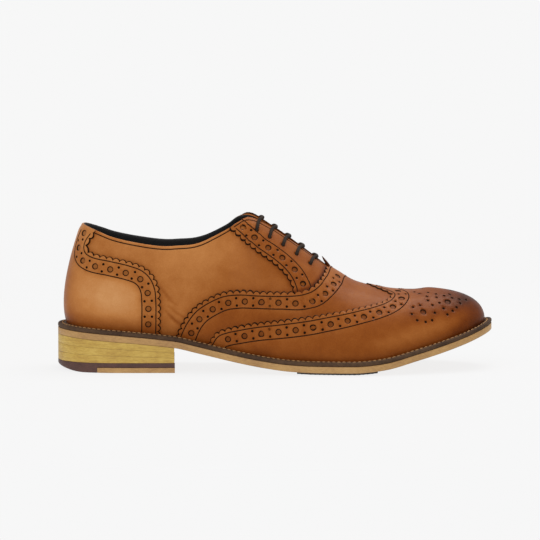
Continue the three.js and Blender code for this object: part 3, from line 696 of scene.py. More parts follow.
def fill_outline(bm, area):
    """Fills the outline between its holes, and returns the filled copy."""
    for turn in FILL_TURNS:
        trial = bm.copy()
        spin = Matrix.Rotation(turn, 3, "Z")
        bmesh.ops.rotate(trial, verts=trial.verts, matrix=spin)
        bounds = [e for e in trial.edges if len(e.link_faces) < 2]
        bmesh.ops.triangle_fill(trial, use_beauty=True, use_dissolve=False, edges=bounds, normal=(0, 0, 1))
        bmesh.ops.rotate(trial, verts=trial.verts, matrix=spin.inverted())
        if abs(sum(face.calc_area() for face in trial.faces) - area) / area < FILL_MISS:
            break
    bm.free()
    return trial


def cut_leather(name, pattern, outline, holes, lift, shade, gimped, grid=2.4, rim_drop=LEATHER):
    """Cuts a leather piece flat, punches it, and draws it over the last.

    Holes are (centre, radius, segments). Lift takes flat points, and shade takes their places on the last too.
    """
    bm = bmesh.new()
    chain_edges(bm, start_chain(bm, outline))
    punched = sum([punch(bm, pattern, *hole) for hole in holes])
    bm = fill_outline(bm, abs(flat_area(outline)) - punched)
    low, high = np.min(outline, 0), np.max(outline, 0)
    for axis in (0, 1):
        for at in np.arange(low[axis] + grid / 2, high[axis], grid):
            slice_at(bm, axis, at)
    centres = KDTree(len(holes))
    for k, (centre, _, _) in enumerate(holes):
        centres.insert((*centre, 0), k)
    centres.balance()
    rings, rim = {}, []
    for edge in bm.edges:
        if edge.is_boundary:
            middle = (edge.verts[0].co + edge.verts[1].co) / 2
            _, k, away = centres.find((middle.x, middle.y, 0))
            if away < holes[k][1] * 1.7:
                rings.setdefault(k, []).append(edge)
            else:
                rim.append(edge)
    pits, floors = set(), set()
    for k, edges in rings.items():
        centre, radius, _ = holes[k]
        for shrink, drop in HOLE_STEPS if radius > LARGE_RADIUS else PINHOLE_STEPS:
            grown = bmesh.ops.extrude_edge_only(bm, edges=edges)["geom"]
            for vert in grown:
                if isinstance(vert, bmesh.types.BMVert):
                    x, y = (c + (old - c) * shrink for c, old in zip(centre, vert.co.xy))
                    vert.co = (x, y, vert.co.z - drop)
                    pits.add(vert)
            edges = [e for e in grown if isinstance(e, bmesh.types.BMEdge)]
        floor = bmesh.ops.holes_fill(bm, edges=edges, sides=0)["faces"]
        if radius > LARGE_RADIUS:
            floors |= {v for face in floor for v in face.verts}
    cut = set(bm.verts)
    rim_of(bm, rim, rim_drop)
    bm.verts.index_update()
    flat = read_points(bm)
    # The deep mark paints hole walls and floors dark as painted shade, and rims near a gimped line as their dyed cut
    # edge with painted shadow
    from_gimp = np.array([np.linalg.norm(gimped - place, axis=1).min() for place in flat[:, :2]])
    deep = np.where(from_gimp < GIMP_DARK, 1.0, 0.3)
    for vert in cut:
        deep[vert.index] = 0.26 if vert in floors else 1 if vert in pits else 0
    points, out = on_last(*pattern.place(flat[:, :2]), lift(flat[:, :2]) + flat[:, 2])
    set_points(bm, to_metres(points))
    face_outwards(bm, out)
    bm.normal_update()
    own = np.array([v.normal[:] for v in bm.verts])
    # The open face takes its shading from the last, and only holes and rims keep their own
    sunk = flat[:, 2] < -1e-4
    detail = np.array([any(sunk[w.index] for e in v.link_edges for w in e.verts) for v in bm.verts])
    normals = np.where(detail[:, None], own, out)
    hole_centres = pattern.lay(np.array([hole[0] for hole in holes]))[0]
    ring = np.exp(-np.abs(nearest(points, hole_centres) - 2.2) / 0.9)
    marks = {"tone": shade(flat[:, :2], points), "deep": deep, "ring": ring}
    piece = finish_piece(bm, name + "_leather", CALF, (name,), marks)
    piece.data.normals_split_custom_set_from_vertices(normals.tolist())
    return piece


def gimp(pattern, line, inside):
    """Pinks an edge into teeth whose tips lie on the line. Inside is 1 where the piece lies to the line's left."""
    length = pattern.run(line)[-1]
    teeth = max(int(round(length / TOOTH_PITCH)), 1)
    per_tooth = 8
    fine = pattern.even(line, length / (teeth * per_tooth))
    phase = np.arange(len(fine)) % per_tooth / per_tooth
    cut = np.abs(np.sin(math.pi * phase)) ** 0.8
    return pattern.across(fine, inside * TOOTH_DEPTH * (1 - cut) + inside * 0.02, False)


def apart(pattern, line, distances):
    """Distances along a flat line that go evenly from one of a few values to the next"""
    run = pattern.run(line)
    return np.interp(run / run[-1], np.linspace(0, 1, len(distances)), distances)


def broguing(pattern, line, inside, start, pitch, away):
    """A row of holes with pairs of pinholes between them, at some distances from an edge given as a flat line"""
    middle = pattern.across(line, inside * apart(pattern, line, away))
    count = int((pattern.run(middle)[-1] - start - 1) / pitch) + 1
    holes = [(c, HOLE / 2, 18) for c in pattern.even(middle, pitch, start, count)]
    between = pattern.even(middle, pitch, start + pitch / 2, count - 1)
    for side in (-1, 1):
        holes += [(c, PINHOLE / 2, 9) for c in pattern.across(between, side * PINHOLE_SPREAD, False)]
    return holes


def mirrored_holes(pattern, holes):
    return [(np.multiply(centre, pattern.MIRROR), radius, segments) for centre, radius, segments in holes]


# ------------------------------------------------------------------------------------------------------------- finishes
def srgb(r, g, b):
    return tuple(c / 255 / 12.92 if c <= 10 else ((c / 255 + 0.055) / 1.055) ** 2.4 for c in (r, g, b)) + (1,)


class Value:
    """A shader value, so that shader maths reads as plain expressions"""

    def __init__(self, finish, socket):
        self.finish, self.socket = finish, socket

    def maths(self, operation, *others):
        return self.finish.node("ShaderNodeMath", {"operation": operation}, dict(enumerate((self, *others))))

    def __add__(self, other):
        return self.maths("ADD", other)

    def __sub__(self, other):
        return self.maths("SUBTRACT", other)

    def __rsub__(self, other):
        return self.finish.node("ShaderNodeMath", {"operation": "SUBTRACT"}, {0: other, 1: self})

    def __mul__(self, other):
        return self.maths("MULTIPLY", other)

    __radd__, __rmul__ = __add__, __mul__

    def least(self, other):
        return self.maths("MINIMUM", other)

    def step(self, low, high):
        ramp = {"interpolation_type": "SMOOTHSTEP"}
        return self.finish.node("ShaderNodeMapRange", ramp, {"Value": self, "From Min": low, "From Max": high})


class Finish:
    """A procedural material. Constants go straight to the shader's own sockets."""

    def __init__(self, name, **constants):
        self.material = bpy.data.materials.new(name)
        self.material.use_nodes = True
        self.nodes, self.links = self.material.node_tree.nodes, self.material.node_tree.links
        self.nodes.clear()
        self.shader = self.nodes.new("ShaderNodeBsdfPrincipled")
        for key, value in constants.items():
            self.shader.inputs[key.replace("_", " ")].default_value = value
        end = self.nodes.new("ShaderNodeOutputMaterial")
        self.links.new(self.shader.outputs[0], end.inputs["Surface"])
        place = self.nodes.new("ShaderNodeTexCoord")
        self.place = Value(self, place.outputs["Object"])

    def node(self, kind, settings=None, inputs=None, output=0):
        node = self.nodes.new(kind)
        for key, value in (settings or {}).items():
            if key == "stops":
                stops = node.color_ramp.elements
                while len(stops) < len(value):
                    stops.new(1)
                for stop, (at, colour) in zip(stops, value):
                    stop.position, stop.color = at, colour
            else:
                setattr(node, key, value)
        for key, value in (inputs or {}).items():
            self.feed(node.inputs[key], value)
        return Value(self, node.outputs[output])

    def feed(self, socket, value):
        if isinstance(value, Value):
            self.links.new(value.socket, socket)
        else:
            socket.default_value = value

    def mark(self, name):
        return self.node("ShaderNodeAttribute", {"attribute_name": name}, output="Fac")

    def stretched(self, x, y, z):
        return self.node("ShaderNodeMapping", None, {"Vector": self.place, "Scale": (x, y, z)})

    def noise(self, scale, detail=2, rough=0.5, place=None, distortion=0.0):
        inputs = {"Vector": place or self.place, "Scale": scale, "Detail": detail, "Roughness": rough}
        return self.node("ShaderNodeTexNoise", None, {**inputs, "Distortion": distortion})

    def cells(self, scale):
        inputs = {"Vector": self.place, "Scale": scale}
        return self.node("ShaderNodeTexVoronoi", {"feature": "F1"}, inputs, "Distance")

    def ramp(self, value, *stops):
        stops = [(at, srgb(*colour)) for at, colour in stops]
        return self.node("ShaderNodeValToRGB", {"stops": stops}, {"Fac": value})

    def mix(self, factor, a, b):
        return self.node("ShaderNodeMix", {"data_type": "RGBA"}, {0: factor, 6: a, 7: b}, 2)

    def relief(self, height, depth, normal=None):
        """A bump whose height value runs over about one depth, in metres"""
        inputs = {"Height": height, "Distance": depth, "Strength": 1.0}
        if normal is not None:
            inputs["Normal"] = normal
        return self.node("ShaderNodeBump", None, inputs)

    def wears(self, **inputs):
        for key, value in inputs.items():
            self.feed(self.shader.inputs[key.replace("_", " ")], value)
        return self.material


def calf():
    """Burnished tan calf: the tone mark runs from the darkest burnish and painted shade to the palest tan and painted
    highlight.
    """
    gloss = {"Specular_IOR_Level": 0.15, "Specular_Tint": srgb(255, 192, 130)}
    leather = Finish("tan_calf", Coat_Weight=0.05, Coat_Roughness=0.2, **gloss)
    cloud = leather.noise(32, 4, 0.55, distortion=0.4)
    dapple = leather.noise(150, 3, 0.6)
    grain = leather.cells(1150)
    pores = leather.noise(900, 3, 0.65)
    ring = leather.mark("ring")
    deep = leather.mark("deep")
    tone = leather.mark("tone") + (cloud - 0.5) * 0.2 + (dapple - 0.5) * 0.14 + (grain - 0.35) * 0.05
    tone = tone - 0.1 * ring
    colour = leather.ramp(
        tone, (0.0, (32, 11, 3)), (0.15, (74, 30, 8)), (0.3, (110, 51, 13)), (0.45, (138, 73, 25)),
        (0.62, (163, 97, 44)), (0.8, (190, 125, 68)), (1.0, (212, 156, 102)),
    )
    # The deep mark paints hole walls dark as painted shade, and cut rims as their dyed edge with painted shadow
    colour = leather.mix(deep.least(1), colour, srgb(26, 10, 5))
    normal = leather.relief(grain * 0.6 + pores * 0.8, 0.00006)
    normal = leather.relief(dapple, 0.00012, normal)
    return leather.wears(Base_Color=colour, Roughness=0.34 + 0.16 * pores + 0.2 * deep, Normal=normal)


def plain(name, dark, light, roughness, scale=400, depth=0.00008, **constants):
    finish = Finish(name, **constants)
    fine = finish.noise(scale, 3, 0.6)
    colour = finish.ramp(finish.noise(scale / 6, 4) * 0.6 + fine * 0.4, (0.3, dark), (0.7, light))
    return finish.wears(Base_Color=colour, Roughness=roughness + 0.15 * fine, Normal=finish.relief(fine, depth))


def stacked():
    """Pressed leather layers: fine level grain with paler and darker fibres"""
    leather = Finish("stacked_leather", Coat_Weight=0.1, Coat_Roughness=0.3)
    layers = leather.noise(60, 3, 0.6, leather.stretched(1, 1, 26))
    fibre = leather.noise(330, 4, 0.7, leather.stretched(1, 1, 7))
    edge = leather.mark("edge")
    tone = layers * 0.4 + fibre * 0.6 - edge * 0.16 + (leather.noise(120, 3, 0.6) - 0.5) * 0.3
    colour = leather.ramp(
        tone, (0.12, (104, 66, 28)), (0.34, (168, 128, 54)), (0.5, (192, 156, 66)), (0.68, (212, 180, 90))
    )
    normal = leather.relief(fibre + layers, 0.00012)
    return leather.wears(Base_Color=colour, Roughness=0.42 + 0.2 * fibre, Normal=normal)


def sole_leather():
    leather = Finish("sole_leather", Coat_Weight=0.08, Coat_Roughness=0.35)
    cloud = leather.noise(45, 3)
    fibre = leather.noise(420, 4, 0.65, leather.stretched(1, 1, 3))
    tone = cloud * 0.5 + fibre * 0.5 - leather.mark("edge") * 0.15
    colour = leather.ramp(
        tone, (0.1, (92, 60, 32)), (0.35, (156, 114, 66)), (0.55, (184, 142, 84)), (0.75, (198, 158, 102))
    )
    return leather.wears(Base_Color=colour, Roughness=0.45 + 0.2 * fibre, Normal=leather.relief(fibre, 0.0001))


CALF = calf()
STACKED = stacked()
SOLE = sole_leather()
WELT = plain("welt_edge", (50, 33, 22), (94, 70, 50), 0.6, 300, Specular_IOR_Level=0.2)
RUBBER = plain("heel_rubber", (62, 36, 29), (92, 58, 48), 0.5, 900, 0.0001)
TREAD = plain("tread_rubber", (18, 17, 17), (36, 34, 33), 0.6, 900, 0.0001)
LINING = plain("lining", (12, 11, 11), (26, 24, 23), 0.75, 1400, 0.00008)
INSOLE = plain("insole_leather", (20, 17, 15), (38, 32, 27), 0.6, 700)
CORD = plain("lace_cord", (30, 22, 16), (60, 48, 38), 0.8, 1500, 0.0001, Specular_IOR_Level=0.25)
THREAD = plain("seam_thread", (34, 16, 7), (62, 33, 15), 0.8, 1500, 0.00005, Specular_IOR_Level=0.08)
WELT_THREAD = plain("welt_thread", (140, 98, 58), (192, 148, 96), 0.7, 1500, 0.00005)

# -------------------------------------------------------------------------------------------------------- leather upper
front, back = Forepart(), Backpart()
counter_edge = back.from_side(COUNTER_EDGE, COUNTER_LIFT)
facing_edge = front.from_side(FACING_EDGE, FACING_LIFT)
vamp_edge = front.from_side(VAMP_EDGE, VAMP_LIFT)
cap_edge = front.from_side(CAP_EDGE, CAP_LIFT)


def flat_row(x):
    """The row number at a distance along the ridge"""
    return np.interp(x, front.ridge, ROWS)


def above_welt(p):
    return p[:, 2] - welt_top(p[:, 0])


def far_from(pattern, line, p):
    """How far points of the last lie from a flat line and its mirror image"""
    return nearest(p, pattern.lay(pattern.both(line))[0])


def shade_common(p):
    """Painted shade near the welt, and burnished towards the toe tip"""
    above = above_welt(p)
    toe = smooth_step(258, 296, p[:, 0]) * (0.6 + 0.4 * smooth_step(6, 24, above))
    return -0.1 * np.exp(-np.maximum(above, 0) / 4) - 0.36 * toe


def thread_row(pattern, line, lift):
    """Where each stitch of a row lies: its middle, its direction, and the way out of the leather"""
    flat = pattern.even(line, STITCH_PITCH)
    points, out = on_last(*pattern.place(flat), lift(flat) - 0.05)
    along = np.gradient(points, axis=0)
    return points, along / np.linalg.norm(along, axis=1, keepdims=True), out


def add_seam_bed(bm, pattern, line, lift):
    """The dark pressed line that a row of stitches lies in, a strip drawn along the row in the thread's colour, which
    also paints the groove's shade
    """
    line = pattern.even(line, 1.3)
    strip = bmesh.new()
    chain = start_chain(strip, pattern.across(line, 0.5, False))
    for away, height in ((0.3, 0.12), (-0.3, 0.12), (-0.5, -0.15)):
        chain = draw_up(strip, chain, at_height(pattern.across(line, away, False), height), closed=False)
    flat = read_points(strip)
    flat[: len(line), 2] = -0.15
    points, out = on_last(*pattern.place(flat[:, :2]), lift(flat[:, :2]) + flat[:, 2])
    set_points(strip, to_metres(points))
    face_outwards(strip, out)
    mesh = bpy.data.meshes.new("seam_bed")
    strip.to_mesh(mesh)
    bm.from_mesh(mesh)
    bpy.data.meshes.remove(mesh)
    strip.free()


def add_stitches(bm, row, length, thick):
    """A row of single stitches, each a small plump spindle"""
    points, along, out = row
    size = Matrix.Diagonal((length / 2 * MM, thick / 2 * MM, thick / 2 * MM, 1))
    for p, a, n in zip(to_metres(points), along, out):
        a, n = Vector(a), Vector(n)
        b = n.cross(a).normalized()
        turn = Matrix((a, b, a.cross(b))).transposed().to_4x4()
        bmesh.ops.create_icosphere(bm, subdivisions=1, radius=1, matrix=Matrix.Translation(p) @ turn @ size)


def sew(name, seams):
    """The stitching of a leather piece: rows on a pattern, with the leather's lift there"""
    bm = bmesh.new()
    for seam in seams:
        add_seam_bed(bm, *seam)
        add_stitches(bm, thread_row(*seam), STITCH_LENGTH, THREAD_THICKNESS)
    finish_piece(bm, name + "_stitching", THREAD)


def joined(*parts):
    return np.vstack([np.atleast_2d(part) for part in parts])


def edge_girth(side, u):
    """The section's length for one unit of its share, at its top edge"""
    step = 0.02
    return np.linalg.norm(skin(side, u, np.ones(len(u))) - skin(side, u, np.full(len(u), 1 - step)), axis=1) / step


# Where the collar runs lower on the outer side's front corner, and where it stands higher at the back, by row number
CORNER_ROWS = (6.4, 7.2, 7.8, 8.3, 8.8, 9.1, 9.4, 10.1, 10.6, 11, 11.5, 12)
CORNER_DROP = (0, 1.2, 2.4, 3.1, 5.0, 5.5, 4.8, 3.7, 3.8, 3.1, 1.6, 0)
BACK_ROWS = (0, 1.6, 2.4, 3.2, 4.2)
BACK_HEIGHT = (1.1, 1.2, 1.2, 0.7, 0)


def collar_drop(side, u):
    """How far the collar's edge lies under the top of the last. The inner side's front corner stands higher."""
    inner = -2 * smooth_step(6.8, 8.2, u) * smooth_step(9.7, 9.0, u)
    return -np.interp(u, BACK_ROWS, BACK_HEIGHT) + np.where(side < 0, np.interp(u, CORNER_ROWS, CORNER_DROP), inner)


def top_line(pattern, side, rows, down):
    """A flat line that follows the collar at a distance below its edge"""
    rows = np.asarray(rows, float)
    s = np.full(len(rows), float(side))
    return pattern.flatten(side, rows, 1 - (down + collar_drop(s, rows)) / edge_girth(s, rows))


# The quarters: one sheet from the instep round the heel to the instep, with its collar folded in. The beads are the
# collar's fold: how far below its edge, and how high over the last.
COLLAR_BEAD = (
    (9, 0), (5.2, 0), (3.4, 0), (2.85, -0.02), (2.5, -0.16), (COLLAR_STITCH, -0.28), (1.9, -0.16), (1.6, 0.0),
    (0.9, 0.02), (0.35, -0.08), (0.05, -0.3), (-0.05, -0.6),
)
LINING_BEAD = ((-0.05, -0.55), (-0.1, -1.0), (0.05, -1.5), (0.5, -1.95), (1.4, -2.3), (3, -2.4))
QUARTER_END = 12.6
QUARTER_SHARES = np.linspace(-0.03, 0.86, 56)
LINING_SHARES = np.linspace(0.02, 0.93, 26)

# Start and end as seen from the side, depth and width
CREASES = (
    ((73, 45), (89, 31), 0.55, 0.8), ((76, 47), (92, 36), 0.4, 0.8), ((71, 60), (80, 50), 0.5, 0.9),
    ((78, 40), (85, 32), 0.4, 0.8), ((74, 54), (84, 46), 0.35, 0.8),
)


def side_and_row(across, end):
    """A share of the way round the heel, from the end row on the outer side to the end row on the inner side"""
    signed = (across * 2 - 1) * end
    return np.where(signed < 0, -1.0, 1.0), np.abs(signed)


def bead_rows(shares, bead, lift, up):
    """For rows that climb the last by shares and then follow a bead: their number, share, distance down and lift"""
    k = np.rint(up * (len(shares) + len(bead) - 1)).astype(int)
    down = np.array([0.0] * len(shares) + [b[0] for b in bead])[k]
    lift = np.array([lift] * len(shares) + [b[1] for b in bead])[k]
    return k < len(shares), shares[np.minimum(k, len(shares) - 1)], down, lift


def quarter_shape(across, up):
    side, u = side_and_row(across, QUARTER_END)
    climbs, share, down, lift = bead_rows(QUARTER_SHARES, COLLAR_BEAD, 0.0, up)
    girth, drop = edge_girth(side, u), collar_drop(side, u)
    v = np.where(climbs, share * (1 - (9.5 + drop) / girth) / QUARTER_SHARES[-1], 1 - (down + drop) / girth)
    points, out = on_last(side, u, v, lift)
    return points - out * crease_depth(points, side)[:, None], out


def crease_depth(points, side):
    """How deep the leather lies in the worn creases of the outer side's waist"""
    depth_here = np.zeros(len(points))
    for start, end, depth, width in CREASES:
        way = np.subtract(end, start)
        seen = points[:, (0, 2)] - start
        share = np.clip((seen @ way) / (way @ way), 0, 1)
        bow = np.array((way[1], -way[0])) * 0.06
        off = np.linalg.norm(seen - share[:, None] * way - np.sin(share * math.pi)[:, None] * bow, axis=1)
        depth_here += depth * bell(off, width) * np.sin(share * math.pi) ** 0.5 * (side < 0)
    return depth_here


def quarter_tone(points):
    x, y, z = points.T
    above = above_welt(points)
    tone = 0.7 - 0.2 * smooth_step(75, 145, x) + 0.1 * bell(x - 112, 34) * smooth_step(60, 80, z)
    # Painted shade low down near the welt
    tone = tone - 0.05 * (1 - smooth_step(10, 40, above)) - 0.12 * np.exp(-np.maximum(above, 0) / 5)
    # Darker beside the edges of the counter, facings and vamp that lie over the quarters: partly painted shadow under
    # them, partly burnish along them. Darker in the creases: painted shade
    over = ((back, counter_edge), (front, facing_edge), (front, vamp_edge))
    edges = np.vstack([pattern.lay(pattern.both(edge))[0] for pattern, edge in over])
    creases = crease_depth(points, np.sign(y - axis_side(x)))
    return tone - 0.16 * np.exp(-nearest(points, edges) / 1.6) - 0.25 * creases


bm = draped_grid(360, len(QUARTER_SHARES) + len(COLLAR_BEAD) - 1, quarter_shape)
points = read_points(bm) / MM + (ORIGIN_X, ORIGIN_Y, 0)
finish_piece(bm, "quarters", CALF, ("upper",), {"tone": quarter_tone(points)})


# The lining: black leather inside the whole shoe, down to the insole
def lining_shape(across, up):
    side, u = side_and_row(across, TOE)
    climbs, share, down, lift = bead_rows(LINING_SHARES, LINING_BEAD[::-1], -2.45, up)
    down = np.where(u < QUARTER_END, down + collar_drop(side, u), np.maximum(down, 0))
    v = np.where(climbs, share, 1 - down / edge_girth(side, u))
    points, out = on_last(side, u, v, np.where(u > 12.2, -2.4, lift))
    return points, -out


finish_piece(draped_grid(300, 31, lining_shape), "lining", LINING, ("upper",))

collar_rows = [top_line(back, side, np.linspace(1.2, 7.2, 200), COLLAR_STITCH) for side in (-1, 1)]
sew("quarter", [(back, row, lambda flat: np.full(len(flat), -0.1)) for row in collar_rows])


def over_welt(pattern, side, rows):
    """A flat line just under the welt's top, which ends a piece that is lasted under"""
    rows = np.asarray(rows, float)
    return pattern.flatten(np.full(len(rows), float(side)), rows, np.full(len(rows), -0.035))


def distances_between(pattern, line, other):
    """How far on the last each point of a flat line lies from each point of another"""
    return np.linalg.norm(pattern.lay(line)[0][:, None] - pattern.lay(other)[0][None], axis=2)


def clear_of(pattern, line, other, gap):
    """The part of a flat line that keeps clear of another on the last"""
    return line[distances_between(pattern, line, other).min(1) > gap]


def to_ridge(line, clear, gap=0.9):
    """An outer row that stops short of the ridge where it turns unsteady, and runs on straight to the ridge"""
    line = line[line[:, 1] < -clear]
    slope = np.clip((line[-1, 0] - line[-4, 0]) / max(line[-1, 1] - line[-4, 1], 0.1), -0.6, 0.6)
    rest = np.linspace(line[-1, 1], -gap, 5)[1:]
    return np.vstack([line, np.column_stack([line[-1, 0] + slope * (rest - line[-1, 1]) * 0.6, rest])])


def stitch_distances(pattern, line, away):
    """The two stitch rows beside a gimped edge: one between it and the holes, and one beyond the holes"""
    return STITCH_ROW, apart(pattern, line, away) + FAR_STITCH_ROW


# Counter: from the collar round the heel, gimped to the front
half = counter_edge[(counter_edge[:, 1] < 78.6) & (counter_edge[:, 1] > -2.6)]
counter_gimp = gimp(back, half, -1)
top_row = float(np.interp(-half[0, 0], back.runs, ROWS))
end_row = float(np.interp(-half[-1, 0], back.runs, ROWS))
steps = np.linspace(0, 1, 40)
outline = joined(
    counter_gimp,
    over_welt(back, -1, end_row * (1 - steps))[1:],
    over_welt(back, 1, end_row * steps)[1:],
    back.mirrored(counter_gimp)[::-1][1:],
    top_line(back, 1, top_row * (1 - steps), 0.5),
    top_line(back, -1, top_row * steps, 0.5)[1:],
)


def counter_lift(flat):
    return COUNTER_LIFT * (0.35 + 0.65 * smooth_step(80, 76, flat[:, 1]))


def counter_shade(flat, p):
    edge, above = far_from(back, half, p), above_welt(p)
    band = 1 - smooth_step(11, 17, edge)
    pale = bell(p[:, 0] - 38, 20) * bell(above - 22, 13)
    # Painted shade round the very back of the heel, where the leather turns away from the light
    tone = 0.74 - 0.16 * (1 - smooth_step(3, 18, p[:, 0])) - 0.06 * band + 0.2 * pale * (1 - band)
    # Painted shade low down near the welt
    tone = tone - 0.2 * (1 - smooth_step(2, 13, above)) + 0.1 * smooth_step(40, 62, above)
    return tone + shade_common(p) - 0.1 * np.exp(-edge / 1.1)


ladder = broguing(back, half, -1, 3.8, 10.93, COUNTER_HOLES)
holes = [h for h in ladder if 4 < h[0][1] < 75.8 and h[0][0] < -3]
holes += mirrored_holes(back, holes)
rows = []
for distance in stitch_distances(back, half, COUNTER_HOLES):
    line = back.across(half, -distance)
    line = line[(line[:, 1] < 77) & (line[:, 1] > 0.4) & (line[:, 0] < -1.5)]
    rows += [line, back.mirrored(line)]
seams = {"counter": [(back, row, counter_lift) for row in rows]}
cut_leather("counter", back, outline, holes, counter_lift, counter_shade, back.both(half))


# Facings: one on each side of the slit, tucked under the vamp
def eyelet_row(at, lean):
    """The row where a lace bar lies: its ends lie a little further back than its middle"""
    rows = np.linspace(*SLIT_ROWS, 60)
    return np.interp(at * LENGTH - lean * 0.6, skin(np.full(60, -1.0), rows, np.ones(60))[:, 0], rows)


def facing_lift(flat):
    return np.full(len(flat), FACING_LIFT)


for side, name in ((-1, "facing_outer"), (1, "facing_inner")):
    paper = Forepart(side)
    edge = facing_edge[facing_edge[:, 1] < -0.8]
    cut = gimp(paper, edge, -side)
    under = front.across(vamp_edge, -7.0)
    under = under[(under[:, 0] > edge[-1, 0] + 3) & (under[:, 1] < -3)]
    start = flat_row(edge[0, 0])
    tail = np.concatenate([np.linspace(12.6, 9.0, 50), np.linspace(9.0, start, 40)[1:]])
    down = np.where(tail > 9.0, 0.0, 0.5 * smooth_step(9.0, 8.6, tail))
    outline = joined(cut[4:], under, (top_line(paper, side, tail, down) * (1, -side))[:-2])
    front_rows = np.linspace(start + 0.25, 12.0, 90)
    slit_row = top_line(paper, side, front_rows, COLLAR_STITCH + 0.2) * (1, -side)
    rows = []
    for distance in stitch_distances(paper, edge, FACING_HOLES):
        row = clear_of(paper, paper.across(edge, -side * distance), slit_row, 1.6)
        row = row[: int(np.linalg.norm(row[:, None] - vamp_edge[None], axis=2).min(1).argmin())]
        rows.append(row[row[:, 1] < -4.5])
    rows.append(clear_of(paper, slit_row, edge, 3.0))
    holes = [h for h in broguing(paper, edge, -side, 6.3, 11.85, FACING_HOLES) if h[0][1] < -6]
    holes += [(paper.flatten(-1.0, eyelet_row(at, 1), 1 - EYELET_SETBACK), 1.5, 14) for at in EYELETS]
    if side > 0:
        outline, rows, edge = paper.mirrored(outline)[::-1], [paper.mirrored(row) for row in rows], paper.mirrored(edge)
        holes = mirrored_holes(paper, holes)

    def facing_shade(flat, p, edge=edge, paper=paper):
        band = 1 - smooth_step(10, 15, nearest(p, paper.lay(edge)[0]))
        # Painted shadow under the vamp's gimped edge, which shows dark between its teeth at the throat
        vamp_edge_shadow = bell(far_from(front, vamp_edge, p), 1.9)
        return 0.45 + 0.04 * band + 0.04 * smooth_step(60, 95, p[:, 2]) - 0.5 * vamp_edge_shadow

    seams[name] = [(paper, row, facing_lift) for row in rows]
    cut_leather(name, paper, outline, holes, facing_lift, facing_shade, edge, grid=1.7, rim_drop=2.6)


def forepart_rows(line, away, clear):
    """Both sides' stitch rows beside an edge of vamp or cap. Each keeps clear of the ridge up to its last stretch."""
    rows = []
    for distance, gap in zip(stitch_distances(front, line, away), clear):
        row = front.across(line, -distance)
        row = to_ridge(row[front.place(row)[2] > 0.004], gap)
        rows += [row, front.mirrored(row)]
    return rows


def forepart_holes(line, start, pitch, away):
    """Both sides' broguing beside an edge of vamp or cap, clear of the ridge and of the welt"""
    holes = [h for h in broguing(front, line, -1, start, pitch, away) if h[0][1] < -4.5]
    holes += mirrored_holes(front, holes)
    return [h for h in holes if front.place(np.array([h[0]]))[2][0] > 0.045]


# Vamp: over the facings, its wings sweeping back to the waist
vamp_half = vamp_edge[(vamp_edge[:, 1] < -0.3)]
vamp_tip = np.array([[vamp_edge[-1, 0] + 0.6, 0.0]])
vamp_line = np.vstack([vamp_half, vamp_tip])
vamp_cut = gimp(front, vamp_half, -1)
vamp_cut = vamp_cut[vamp_cut[:, 1] < -0.5]
hidden = front.across(cap_edge, -8.0)
hidden = hidden[hidden[:, 1] < -7.0]
back_row, cap_row = flat_row(vamp_half[0, 0]), flat_row(hidden[0, 0])
outline = joined(
    vamp_cut,
    vamp_tip,
    front.mirrored(vamp_cut)[::-1],
    over_welt(front, 1, back_row + (cap_row - back_row) * steps)[3:],
    front.mirrored(hidden)[1:],
    hidden[::-1],
    over_welt(front, -1, cap_row + (back_row - cap_row) * steps)[1:-3],
)
throat = front.flatten(-1.0, 12.0, 1.0)[0]
facing_front = facing_edge[-1, 0]


def vamp_lift(flat):
    """The vamp lies higher where the facings' ends are under it"""
    x, y = flat[:, 0], np.abs(flat[:, 1])
    over = smooth_step(facing_front - 4, facing_front + 5, x) * smooth_step(throat + 22, throat + 8, x)
    over = over * smooth_step(48, 36, y)
    return VAMP_LIFT + 0.95 * over


def vamp_shade(flat, p):
    edge, under_cap = far_from(front, vamp_line, p), far_from(front, cap_edge, p)
    band = 1 - smooth_step(10, 17, edge)
    # Paler along the vamp's top: a painted highlight
    top = smooth_step(0.4, 1.0, 1 - np.abs(flat[:, 1]) / 70)
    tone = 0.43 + 0.1 * band + 0.03 * top + shade_common(p)
    # Darker beside the toe cap's edge, which lies over the vamp: painted shadow
    return tone - 0.1 * np.exp(-edge / 1.1) - 0.14 * np.exp(-under_cap / 1.6)


holes = forepart_holes(vamp_line, 8.9, 11.55, VAMP_HOLES)
seams["vamp"] = [(front, row, vamp_lift) for row in forepart_rows(vamp_line, VAMP_HOLES, (6.0, 13.0))]
cut_leather("vamp", front, outline, holes, vamp_lift, vamp_shade, front.both(vamp_line))

# Toe cap: a wing tip with its point on the ridge, punched with a medallion
cap_half = cap_edge[cap_edge[:, 1] < -0.3]
cap_tip = np.array([[cap_edge[-1, 0] - 0.5, 0.0]])
cap_line = np.vstack([cap_half, cap_tip])
cap_cut = gimp(front, cap_half, -1)
cap_cut = cap_cut[cap_cut[:, 1] < -0.5]
cap_start = flat_row(cap_half[0, 0])
toe_steps = np.linspace(0, 1, 150)
outline = joined(
    cap_cut,
    cap_tip,
    front.mirrored(cap_cut)[::-1],
    over_welt(front, 1, cap_start + (TOE - cap_start) * toe_steps)[1:],
    over_welt(front, -1, TOE + (cap_start - TOE) * toe_steps)[1:-1],
)


def cap_lift(flat):
    return np.full(len(flat), CAP_LIFT)


def cap_shade(flat, p):
    x = p[:, 0]
    edge, above = far_from(front, cap_line, p), above_welt(p)
    band = 1 - smooth_step(10, 17, edge)
    # A paler band along the toe's flank: a painted highlight
    painted_highlight = bell(above - 11 - 0.02 * (x - 230), 5) * smooth_step(205, 245, x) * smooth_step(292, 270, x)
    tone = 0.44 + 0.07 * band + 0.14 * painted_highlight - 0.08 * smooth_step(16, 24, above) * smooth_step(232, 262, x)
    return tone + shade_common(p) - 0.1 * np.exp(-edge / 1.1)


